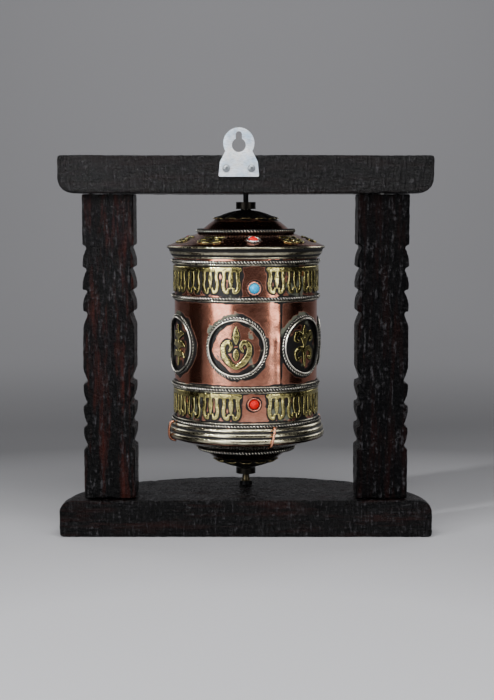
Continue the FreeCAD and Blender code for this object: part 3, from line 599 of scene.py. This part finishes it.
def twisted_rope(name, length, rope_radius):
    """A straight two-strand rope along X, centred on the axis, with tarnish in its furrows."""
    turns = round(length / (2 * strands_apart))
    strand = rope_radius / 2
    halves = []
    for side in (1, -1):
        bpy.ops.mesh.primitive_circle_add(vertices=strand_sides, radius=strand,
                                          rotation=(0, math.pi / 2, 0), location=(0, 0, side * strand))
        piece = bpy.context.object
        apply_place(piece)
        twist = piece.modifiers.new("twist", "SCREW")
        twist.axis = "X"
        twist.angle = 2 * math.pi
        twist.screw_offset = length / turns
        twist.iterations = turns
        twist.steps = twist.render_steps = 16
        apply_modifiers(piece)
        halves.append(piece)
    pick(*halves)
    bpy.ops.object.join()
    rope = bpy.context.object
    rope.name = name
    paint(rope, lambda spot: 1.0 - ramp(0.55, 0.85, -spot.y / rope_radius))
    return rope


def close_up(piece):
    """Merges the ends that meet and turns every face outwards."""
    pick(piece)
    with mesh_editing():
        bpy.ops.mesh.remove_doubles(threshold=same_end)
        bpy.ops.mesh.normals_make_consistent(inside=False)
    bpy.ops.object.shade_smooth()


for place, start in (("first", -26), ("second", 150), ("third", 40), ("fourth", 205)):
    node = f"{place}_trim_rope"
    low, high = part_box(node)
    rope_radius = (high.z - low.z) / 2
    rope = twisted_rope(f"{node}_twisted", 2 * math.pi * drum_radius, rope_radius)
    lift(rope, (low.z + high.z) / 2, rope_radius)
    wrap_round(rope, drum_radius, start)
    close_up(rope)
    finish(rope, "wheel", white_metal, "white_metal", node)
    soldered_on.append(rope)
    dress(plain_wire_metal, f"{place}_trim_wires")
    soldered_on.append(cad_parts[f"{place}_trim_wires"])

for place in ("top", "bottom"):
    node = f"{place}_crown_rope"
    low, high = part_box(node)
    rope_radius = (high.z - low.z) / 2
    ring_radius = high.x - rope_radius
    rope = twisted_rope(f"{node}_twisted", 2 * math.pi * ring_radius, rope_radius)
    for furrow, vertex in zip(rope.data.attributes["tarnish"].data, rope.data.vertices):
        furrow.value = 1.0 - ramp(0.70, 0.95, -vertex.co.y / rope_radius)
    lift(rope, (low.z + high.z) / 2)
    wrap_round(rope, ring_radius, 60)
    close_up(rope)
    finish(rope, "wheel", white_metal, "white_metal", node)

# ---- Medallions
# Six hoops bent to the drum, each a flat white-metal band with a twisted rope outside it. A sawn brass
# ornament is soldered in the middle of each: three plain patterns, used twice.

medallion_low, medallion_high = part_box("medallion_ropes")
medallion_z = (medallion_low.z + medallion_high.z) / 2
medallion_radius = (medallion_high.z - medallion_low.z) / 2
rope_outside = 0.95 * MM
hoop_wide = 0.75 * MM
hoop_proud = 3.0 * MM
medallion_phase = -7.5

flame = ([((0, 15.6, 0.6), (0, 11.6, 2.1), (0, 7.4, 2.5), (0, 3.4, 0.9))]
         + mirrored([((0.4, -14.6, 1.6), (5.4, -10.8, 2.2), (9.4, -4.8, 2.1), (9.6, 1.8, 1.9),
                      (5.8, 4.6, 1.6), (3.6, 1.0, 1.3), (5.2, -2.4, 0.8)),
                     ((0.2, -8.6, 0.9), (1.0, -4.8, 1.3), (0.2, -1.4, 0.8))]))
volutes = ([((0, -15.0, 1.0), (0, -6.0, 1.9), (0, 3.0, 1.7)),
            ((0, 15.6, 0.7), (0, 11.8, 2.3), (0, 8.0, 0.9))]
           + mirrored([((0.2, 1.8, 1.7), (3.6, 7.6, 2.0), (8.6, 9.6, 1.9), (10.6, 5.4, 1.5),
                        (7.2, 3.6, 1.1)),
                       ((0.4, -4.2, 1.4), (5.0, -1.8, 1.8), (9.6, -5.0, 1.8), (8.2, -9.8, 1.5),
                        (4.6, -8.6, 0.9))]))
spray = ([((0, -15.6, 0.8), (0, -8.0, 1.9), (0, 2.0, 1.7), (0, 14.8, 0.8))]
         + mirrored([((0.2, -9.0, 1.2), (5.4, -6.4, 2.3), (10.4, -9.6, 0.6)),
                     ((0.2, -2.6, 1.2), (6.0, 0.8, 2.5), (11.2, -1.2, 0.6)),
                     ((0.2, 4.4, 1.1), (5.0, 8.4, 2.2), (9.8, 8.6, 0.6))]))
ornaments = (flame, volutes, spray)


def bend_to_ring(piece, ring_radius):
    """Bends a straight piece along X into an upright ring in the XZ plane."""
    for vertex in piece.data.vertices:
        x, y, z = vertex.co
        turn = x / ring_radius
        reach = ring_radius + z
        vertex.co = (reach * math.sin(turn), y, reach * math.cos(turn))


def join_as(name, pieces):
    pick(*pieces)
    bpy.ops.object.join()
    joined = bpy.context.object
    joined.name = name
    return joined


rope_rings, hoops = [], []
for number in range(6):
    phase = medallion_phase + 60 * number
    ring_radius = medallion_radius - rope_outside
    ring = twisted_rope(f"ring_{number}", 2 * math.pi * ring_radius, rope_outside)
    lift(ring, 0.0, rope_outside)
    bend_to_ring(ring, ring_radius)
    lift(ring, medallion_z)
    wrap_round(ring, drum_radius, phase)
    close_up(ring)
    rope_rings.append(ring)

    bpy.ops.mesh.primitive_torus_add(major_radius=ring_radius - rope_outside - hoop_wide,
                                     minor_radius=hoop_wide, major_segments=96, minor_segments=12,
                                     rotation=(math.pi / 2, 0, 0))
    hoop = bpy.context.object
    apply_place(hoop)
    for vertex in hoop.data.vertices:
        vertex.co.y = vertex.co.y / hoop_wide * hoop_proud / 2 - hoop_proud / 2
    lift(hoop, medallion_z)
    wrap_round(hoop, drum_radius, phase)
    hoops.append(hoop)

    node = f"medallion_motif_{number + 1}"
    motif = sawn_plate(f"{node}_sawn", ornaments[number % 3])
    lift(motif, medallion_z)
    wrap_round(motif, drum_radius, phase)
    finish(motif, "wheel", pale_brass, "brass", node)
    soldered_on.append(motif)

medallion_rope = finish(join_as("medallion_ropes_twisted", rope_rings), "wheel", white_metal, "white_metal",
                        "medallion_ropes")
hoop_set = join_as("medallion_hoops_bent", hoops)
close_up(hoop_set)
paint(hoop_set, lambda spot: 1.0 - ramp(1.9 * MM, 2.9 * MM, from_rod(spot) - drum_radius))
finish(hoop_set, "wheel", white_metal, "white_metal", "medallion_hoops")
soldered_on += [medallion_rope, hoop_set]

# ---- Stones and their settings
# Round cabochons of turquoise and coral, set in thin copper or silver collars whose edge is pressed over
# the stone in small bites.


def cabochon(radius, high):
    """A polished dome that looks along -Y, its flat back at y = 0."""
    bpy.ops.mesh.primitive_uv_sphere_add(segments=32, ring_count=16, radius=radius,
                                         rotation=(math.pi / 2, 0, 0))
    stone = bpy.context.object
    stone.scale.z = high / radius
    apply_place(stone)
    with mesh_editing():
        bpy.ops.mesh.bisect(plane_co=(0, 0, 0), plane_no=(0, 1, 0), use_fill=True, clear_outer=True)
    bpy.ops.object.shade_smooth_by_angle(angle=math.radians(40))
    return stone


def setting(inner, outer, high, bites):
    """A collar round a stone; bites is the number of teeth along its edge, or 0 for a plain one."""
    wall = (outer - inner) / 2
    bpy.ops.mesh.primitive_torus_add(major_radius=inner + wall, minor_radius=wall, major_segments=112,
                                     minor_segments=12, rotation=(math.pi / 2, 0, 0))
    collar = bpy.context.object
    apply_place(collar)
    for vertex in collar.data.vertices:
        x, y, z = vertex.co
        turn = math.atan2(z, x)
        tooth = 1.0 + (0.16 * math.cos(bites * turn) if bites else 0.0)
        vertex.co.y = (y / wall * high / 2) * tooth - high / 2
        if bites and y < 0:
            pinch = 1.0 - 0.05 * math.cos(bites * turn)
            vertex.co.x, vertex.co.z = x * pinch, z * pinch
    bpy.ops.object.shade_smooth()
    return collar


def polished_stone(name, bright, deep):
    material, tree, shader = new_material(name)
    veins = clouds(tree, own_place(tree), 420.0, 5.0, 0.6)
    set_inputs(tree, shader, {
        "Base Color": blend_colours(tree, spread(tree, veins, 0.35, 0.7), bright, deep),
        "Roughness": spread(tree, veins, 0.3, 0.7, 0.10, 0.22), "Specular IOR Level": 0.15})
    return material


turquoise = polished_stone("turquoise", (0.0, 0.52, 0.95, 1), (0.0, 0.34, 0.72, 1))
coral = polished_stone("coral", (0.88, 0.008, 0.010, 1), (0.60, 0.004, 0.006, 1))
setting_copper = worn_metal("setting_copper", (0.86, 0.46, 0.34, 1), (0.60, 0.27, 0.19, 1), (0.18, 0.32))
setting_silver = worn_metal("setting_silver", (0.80, 0.79, 0.76, 1), (0.55, 0.54, 0.50, 1), (0.18, 0.32))

lid_low, lid_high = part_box("top_lid")
lid_rim_radius = lid_high.x
lid_slope = math.atan(0.404)
lid_rim_height = lid_low.z + 0.86 * MM


def lid_surface(radius):
    return lid_rim_height + (lid_rim_radius - radius) * math.tan(lid_slope)


def lay_on_lid(piece, seat, phase):
    """Lays a flat piece on the sloping lid: z runs up the slope, and -y stands off it."""
    for vertex in piece.data.vertices:
        x, y, z = vertex.co
        turn = math.radians(phase) + x / seat
        reach = seat - z * math.cos(lid_slope) - y * math.sin(lid_slope)
        height = lid_surface(seat) + z * math.sin(lid_slope) - y * math.cos(lid_slope)
        vertex.co = (reach * math.sin(turn), -reach * math.cos(turn), height)
    piece.data.update()


lid_stone_seat = 49.0 * MM
stone_phase = 6.5
stone_high, setting_high, setting_radius = 2.8 * MM, 1.7 * MM, 5.2 * MM
plain_gap = 0.5
stone_places = (("turquoise", turquoise, "turquoise", setting_copper, "copper", 15, 3.75),
                ("coral", coral, "coral", setting_copper, "copper", 0, 3.55),
                ("lid", coral, "coral", setting_silver, "white_metal", 18, 3.5))
for place, stone_material, stone_slot, setting_material, setting_slot, bites, stone_size in stone_places:
    low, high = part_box(f"{place}_bezels")
    stones, collars = [], []
    for number in range(3):
        phase = stone_phase + 120 * number
        stone = cabochon(stone_size * MM, stone_high)
        collar = setting((stone_size + (0.0 if bites else plain_gap)) * MM, setting_radius, setting_high,
                         bites)
        for piece in (stone, collar):
            if place == "lid":
                lay_on_lid(piece, lid_stone_seat, phase)
            else:
                lift(piece, (low.z + high.z) / 2)
                wrap_round(piece, drum_radius, phase)
        stones.append(stone)
        collars.append(collar)
    stone_set = join_as(f"{place}_stones_cut", stones)
    finish(stone_set, "wheel", stone_material, stone_slot, f"{place}_stones")
    collar_set = join_as(f"{place}_bezels_pressed", collars)
    close_up(collar_set)
    finish(collar_set, "wheel", setting_material, setting_slot, f"{place}_bezels")
    if place != "lid":
        soldered_on.append(collar_set)
    else:
        on_lid = [collar_set]

# ---- Brass pieces on the lid
# Six sawn brass scrolls lie on the lid, two between each pair of stones.

lid_scrolls = []
for number in range(3):
    for step in (39, 81):
        strokes = [[(-9.0, 5.0, 1.0), (0, 5.4, 1.2), (9.0, 5.0, 1.0)],
                   [(0, 4.6, 1.2), (0, 0, 1.8), (0, -5.6, 0.6)]]
        strokes += mirrored([[(1.6, -4.4, 0.8), (5.6, -4.8, 1.3), (9.0, -2.2, 1.3), (7.4, 1.3, 1.2),
                              (4.4, 0.2, 0.8)]])
        scroll = sawn_plate(f"lid_scroll_{number}_{step}", strokes)
        lay_on_lid(scroll, lid_stone_seat, stone_phase + step + 120 * number)
        lid_scrolls.append(scroll)
lid_scroll_set = join_as("lid_motifs_sawn", lid_scrolls)
finish(lid_scroll_set, "wheel", pale_brass, "brass", "lid_motifs")
on_lid.append(lid_scroll_set)

# ---- Drum shell
# One sheet of copper rolled into a tube and soldered along a lap seam, polished bright, with black
# tarnish and grey solder left round everything that is fixed to it.

seam_phase = 28.6
medallion_floor, medallion_halo = 20.2, 31.0
lap = 6.0 * MM
sheet_thick = 0.7 * MM
cells_round, cells_up = 440, 160


def distance_tree(pieces):
    """One search tree over all the pieces' meshes."""
    corners, faces = [], []
    for piece in pieces:
        start = len(corners)
        corners += [vertex.co.copy() for vertex in piece.data.vertices]
        faces += [[start + index for index in polygon.vertices] for polygon in piece.data.polygons]
    return BVHTree.FromPolygons(corners, faces)


def soot(pieces, near, far):
    """Tarnish that is full at the pieces' edges and gone a little way off, unevenly."""
    search = distance_tree(pieces)

    def value_at(spot):
        _, _, _, gap = search.find_nearest(spot, far * 2.5)
        if gap is None:
            return 0.0
        patch = 0.75 + 0.9 * noise.noise(spot * 85) + 0.35 * noise.noise(spot * 260)
        return 1.0 - ramp(near, max(near * 1.2, far * patch), gap)
    return value_at


copper = worn_metal("polished_copper", (0.76, 0.335, 0.225, 1), (0.50, 0.19, 0.12, 1), shine=(0.13, 0.26),
                    dents=0.10)
bpy.ops.mesh.primitive_grid_add(x_subdivisions=cells_round, y_subdivisions=cells_up, size=1.0,
                                rotation=(math.pi / 2, 0, 0))
shell = bpy.context.object
shell.name = "drum_shell_rolled"
shell_height = shell_high.z - shell_low.z
shell.scale = (2 * math.pi * drum_radius, shell_height, 1)
apply_place(shell)
shell_end = math.pi * drum_radius
for vertex in shell.data.vertices:
    from_seam = shell_end - vertex.co.x
    step_out = ramp(1.2 * lap, 0.3 * lap, from_seam) if from_seam > 0.4 * MM else 0.0
    hammered = 0.30 * MM * noise.noise(vertex.co * 95 + Vector((0, 0, 3))) * ramp(13 * MM, 3 * MM, from_seam)
    wobble = 0.10 * MM * noise.noise(Vector((vertex.co.x * 55, 1.5, vertex.co.z * 12)))
    fade = ramp(0.0, 1.0 * MM, from_seam) * ramp(0.0, 4.0 * MM, shell_end + vertex.co.x)
    vertex.co.y = -(step_out * 0.35 * MM + (hammered + wobble) * fade) + 0.12 * MM
wrap_round(shell, drum_radius, seam_phase + 180)
lift(shell, (shell_low.z + shell_high.z) / 2)
pick(shell)
inner_share = 1 - sheet_thick / drum_radius
with mesh_editing():
    bpy.ops.mesh.remove_doubles(threshold=same_end)
    bpy.ops.mesh.select_all(action="DESELECT")
    bpy.ops.mesh.select_non_manifold()
    bpy.ops.mesh.extrude_edges_move()
    bpy.ops.transform.resize(value=(inner_share, inner_share, 1))
    bpy.ops.mesh.bridge_edge_loops()
    bpy.ops.mesh.select_all(action="SELECT")
    bpy.ops.mesh.normals_make_consistent(inside=False)
bpy.ops.object.shade_smooth_by_angle(angle=math.radians(50))
near_pieces = soot(soldered_on, 0.35 * MM, 2.3 * MM)
band_edges = [(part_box(f"{band}_fret_panel_1")[0].z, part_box(f"{band}_fret_panel_1")[1].z)
              for band in ("upper", "lower")]


def drum_turn(spot):
    return math.degrees(math.atan2(spot.x, -spot.y))


def nearest_medallion(spot):
    """Which medallion is nearest, how far its middle is in millimetres, and how far across and up."""
    turn = drum_turn(spot)
    number = round((turn - medallion_phase) / 60)
    across = math.radians(turn - medallion_phase - 60 * number) * drum_radius / MM
    up = (spot.z - medallion_z) / MM
    return number % 6, math.hypot(across, up), across, up


def shell_tarnish(spot):
    """Dark round the soldered pieces, on the medallions' floors, on the bands' ground and by the seam."""
    turn = drum_turn(spot)
    seam = ramp(1.8, 0.4, abs(turn - seam_phase)) * (0.75 + 0.5 * noise.noise(spot * 60))
    number, away, across, _ = nearest_medallion(spot)
    patchy = noise.noise(spot * 75) + 0.5 * noise.noise(spot * 210)
    floor = 0.0
    if away < medallion_floor:
        floor = ramp(16.6, 19.2, away + 2.6 * patchy)
        if number:
            floor = max(floor, 0.75 - 1.1 * max(0.0, patchy))
    elif away < medallion_halo:
        floor = 0.85 * ramp(24.5 + (3.0 if across > 0 else 0.5), 23.6, away + 2.2 * patchy)
    ground = 0.0
    from_stone = abs((turn - stone_phase + 60) % 120 - 60)
    for low, high in band_edges:
        if low < spot.z < high:
            ground = ramp(8.0, 11.0, from_stone + 3 * patchy) * (0.55 + 0.9 * patchy)
    return min(1.0, max(near_pieces(spot), floor, ground) + max(0.0, seam))


def shell_solder(spot):
    """Grey crusts of solder above the medallions and here and there on the bands."""
    _, away, across, up = nearest_medallion(spot)
    patchy = noise.noise(spot * 130 + Vector((5, 2, 8)))
    crust = 0.0
    if 23 < away < 29 and up > 4:
        crust = ramp(28.5, 24.5, away + 3 * patchy) * ramp(4, 12, up) * ramp(9, -2, across) * (0.9 + patchy)
    elif away < 20:
        crust = ramp(0.25, 0.5, patchy) * ramp(8, 13, away) * 0.8
    for low, high in band_edges:
        if low - 4 * MM < spot.z < high + 2 * MM:
            crust = ramp(0.16, 0.5, noise.noise(spot * 62 + Vector((1, 4, 2)))) * 0.75
    return crust


paint(shell, shell_tarnish)
paint(shell, shell_solder, "solder")
finish(shell, "wheel", copper, "copper", "drum_shell")

# ---- Lids, domes and petal caps
# Each end is closed by a shallow copper cone with a spun dome on it. A blackened brass cap cut into
# petals covers the middle of the dome, under the bush.


spin_steps, dome_steps, ridge_steps = 144, 18, 7
dome_rise = 0.28
dome_curve = 2.3


def spun(name, outline):
    """A closed outline of (radius, height) turned round the wheel's axis."""
    bpy.ops.mesh.primitive_circle_add(vertices=len(outline), radius=1.0)
    piece = bpy.context.object
    piece.name = name
    for vertex, (radius, height) in zip(piece.data.vertices, outline):
        vertex.co = (0, -radius, height)
    with mesh_editing():
        bpy.ops.mesh.spin(steps=spin_steps, angle=2 * math.pi, center=(0, 0, 0), axis=(0, 0, 1))
    close_up(piece)
    return piece


def sheet_outline(upper, thick):
    """The outline of a spun sheet: its outer line, and the same line moved down by its thickness."""
    return upper + [(radius, height - thick) for radius, height in reversed(upper)]


def dome_drop(share):
    """How far a dome has dropped, as a share of its height: flat in the middle and steeper outwards."""
    return dome_rise * share + (1 - dome_rise) * max(share, 0.0) ** dome_curve


def dome_line(collar, rim):
    """Points from the bush to the foot of a dome."""
    line = []
    for step in range(dome_steps + 1):
        share = step / dome_steps
        radius = collar[0] + (rim[0] - collar[0]) * share
        line.append((radius, collar[1] + (rim[1] - collar[1]) * dome_drop(share)))
    return line


bush_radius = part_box("axle_tube")[1].x
dome_copper = worn_metal("dome_copper", (0.42, 0.18, 0.12, 1), (0.22, 0.085, 0.055, 1), shine=(0.14, 0.28),
                         dents=0.06)
cap_brass = worn_metal("cap_brass", (0.40, 0.33, 0.16, 1), (0.16, 0.13, 0.07, 1), shine=(0.25, 0.45))
lid_hole, lid_thick, dome_thick = 33.0 * MM, 0.86 * MM, 0.8 * MM
cap_radius, cap_thick, cap_sides, cap_rings = 25.6 * MM, 0.6 * MM, 192, 14
notch_deep, vein_high, tip_flare = 4.6 * MM, 0.7 * MM, 1.3 * MM
# The bottom lid and dome use a much darker copy of the top end's copper. This is painted shade on the end
# that faces down.
copper_painted_shade = worn_metal("copper_painted_shade", (0.11, 0.055, 0.038, 1), (0.05, 0.026, 0.02, 1), (0.16, 0.32),
                          dents=0.06)
for place, side, end_copper, dome_soot in (("top", 1, dome_copper, 0.55),
                                           ("bottom", -1, copper_painted_shade, 0.9)):
    lid_box_low, lid_box_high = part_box(f"{place}_lid")
    dome_low, dome_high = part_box(f"{place}_dome")
    lid_outer = lid_box_high.x
    if side > 0:
        rim_z, hole_z = lid_box_low.z + lid_thick, lid_box_high.z
        crown_z, foot_z = dome_high.z, dome_low.z
    else:
        rim_z, hole_z = lid_box_high.z - lid_thick, lid_box_low.z
        crown_z, foot_z = dome_low.z, dome_high.z
    slope = [(lid_hole + (lid_outer - lid_hole) * step / 12, hole_z + (rim_z - hole_z) * step / 12)
             for step in range(13)]
    lid = spun(f"{place}_lid_spun", sheet_outline(slope, lid_thick * side))
    finish(lid, "wheel", end_copper, "copper", f"{place}_lid")
    foot = (dome_high.x, foot_z + 0.05 * MM * side)
    line = dome_line((bush_radius, crown_z), foot)
    dome = spun(f"{place}_dome_spun", sheet_outline(line, dome_thick * side))
    paint(dome, lambda spot: max(ramp(28 * MM, 25 * MM, from_rod(spot)),
                                 ramp(34 * MM, 36.5 * MM, from_rod(spot))) * dome_soot)
    finish(dome, "wheel", end_copper, "copper", f"{place}_dome")
    if side > 0:
        paint(lid, soot(on_lid, 0.2 * MM, 1.3 * MM))

    bpy.ops.mesh.primitive_circle_add(vertices=cap_sides, radius=bush_radius)
    cap = bpy.context.object
    cap.name = f"{place}_petal_cap_cut"
    with mesh_editing():
        for step in range(cap_rings):
            near = bush_radius + (cap_radius - bush_radius) * step / cap_rings
            wide = bush_radius + (cap_radius - bush_radius) * (step + 1) / cap_rings
            bpy.ops.mesh.extrude_edges_move()
            bpy.ops.transform.resize(value=(wide / near, wide / near, 1))
    for vertex in cap.data.vertices:
        reach = from_rod(vertex.co)
        turn = math.atan2(vertex.co.y, vertex.co.x)
        share = (reach - bush_radius) / (cap_radius - bush_radius)
        tip = abs(math.cos(6 * turn))
        reach -= notch_deep * max(share, 0.0) ** 3 * (1 - tip ** 0.55)
        drop = (foot[1] - crown_z) * dome_drop((reach - bush_radius) / (foot[0] - bush_radius))
        ridge = (vein_high * share * ramp(0.1, 0.9, tip)
                 + tip_flare * ramp(0.7, 1.0, share) * ramp(0.3, 1.0, tip))
        vertex.co = (reach * math.cos(turn), reach * math.sin(turn),
                     crown_z + drop + side * (0.15 * MM + ridge))
    if side < 0:
        cap.data.flip_normals()
    cap_sheet = cap.modifiers.new("sheet", "SOLIDIFY")
    cap_sheet.thickness = cap_thick
    cap_sheet.offset = 1.0
    apply_modifiers(cap)
    close_up(cap)
    paint(cap, lambda spot: 0.85 - 0.75 * ramp(22.0 * MM, 25.0 * MM, from_rod(spot)))
    finish(cap, "wheel", cap_brass, "black_brass", f"{place}_petal_cap")

# ---- Rim mouldings
# White-metal strips rolled with ridges, bent round both ends of the drum over the lids' edges. The
# grooves are black and the ridges are rubbed bright.


def rounded_ridge(start, finish_point, bulge):
    """Points along an outward bulge between two grooves."""
    (r1, z1), (r2, z2) = start, finish_point
    length = math.hypot(r2 - r1, z2 - z1)
    out = ((z1 - z2) / length, (r2 - r1) / length)
    points = []
    for step in range(ridge_steps + 1):
        share = step / ridge_steps
        swell = bulge * math.sqrt(max(0.0, 1 - (2 * share - 1) ** 2))
        points.append((r1 + (r2 - r1) * share + out[0] * swell, z1 + (z2 - z1) * share + out[1] * swell))
    return points


def moulding(name, grooves, bulges, inside):
    """Ridges between the given grooves, from the top down, closed by the points on the inside."""
    outline = []
    for start, finish_point, bulge in zip(grooves, grooves[1:], bulges):
        outline += rounded_ridge(start, finish_point, bulge)
    return spun(name, [(radius * MM, height * MM) for radius, height in outline + inside])


rim_metal = worn_metal("rim_metal", (0.60, 0.56, 0.40, 1), (0.30, 0.27, 0.18, 1), shine=(0.16, 0.34))
top_rim = moulding("top_rim_rolled",
                   [(60.3, 215.6), (60.2, 213.4), (59.3, 212.4), (57.3, 208.2), (57.0, 207.9),
                    (56.2, 206.4)],
                   [1.0, 0.05, 0.55, 0.02, 0.45],
                   [(55.5, 206.4), (55.5, 215.9)])
bottom_rim = moulding("bottom_rim_rolled",
                      [(57.0, 80.2), (58.6, 77.1), (58.9, 76.6), (59.7, 73.0), (60.0, 72.5), (60.0, 68.3)],
                      [0.85, 0.02, 0.95, 0.02, 1.15],
                      [(55.5, 67.4), (55.5, 80.2)])


def groove_soot(ridges):
    """Dark away from the given ridge tops (radius, height, reach), in millimetres."""
    def value_at(spot):
        radius, height = from_rod(spot) / MM, spot.z / MM
        near = min(math.hypot(radius - r, height - z) / reach for r, z, reach in ridges)
        patch = 0.12 * noise.noise(spot * 70)
        return ramp(0.50, 0.85, near + patch)
    return value_at


paint(top_rim, groove_soot([(61.4, 214.9, 1.2), (60.2, 212.0, 1.0), (58.9, 210.2, 1.5), (57.2, 207.2, 0.9)]))
finish(top_rim, "wheel", rim_metal, "white_metal", "top_rim")
paint(bottom_rim, groove_soot([(58.6, 79.0, 1.5), (60.2, 75.3, 1.8), (61.1, 70.9, 2.2)]))
finish(bottom_rim, "wheel", rim_metal, "white_metal", "bottom_rim")

# ---- Copper ties
# Four short loops of copper wire hook over the bottom rim and hold the lid to the drum.

tie_wire = 1.0 * MM
first_tie_phase = 19
tie_slant = math.radians(2.5)
tie_route = [(58.6, 80.6), (61.4, 81.2), (62.7, 78.0), (62.65, 73.0), (62.2, 68.6), (60.2, 66.0),
             (56.6, 65.6)]
ties = []
for number in range(4):
    line = bpy.data.curves.new(f"tie_{number}", "CURVE")
    line.dimensions = "3D"
    line.bevel_depth = tie_wire
    line.bevel_resolution = 4
    line.use_fill_caps = True
    spline = line.splines.new("NURBS")
    spline.points.add(len(tie_route) - 1)
    lean = math.radians(first_tie_phase + 90 * number)
    for point, (radius, height) in zip(spline.points, tie_route):
        turn = lean + tie_slant * (height - 72) / 12
        point.co = (radius * MM * math.sin(turn), -radius * MM * math.cos(turn), height * MM, 1)
    spline.order_u = 4
    spline.use_endpoint_u = True
    spline.resolution_u = 6
    tie = new_object(f"tie_{number}", line)
    pick(tie)
    bpy.ops.object.convert(target="MESH")
    ties.append(bpy.context.object)
tie_copper = worn_metal("tie_copper", (0.90, 0.42, 0.27, 1), (0.70, 0.30, 0.18, 1), shine=(0.18, 0.30))
tie_set = join_as("rim_ties_bent", ties)
close_up(tie_set)
finish(tie_set, "wheel", tie_copper, "copper", "rim_ties")
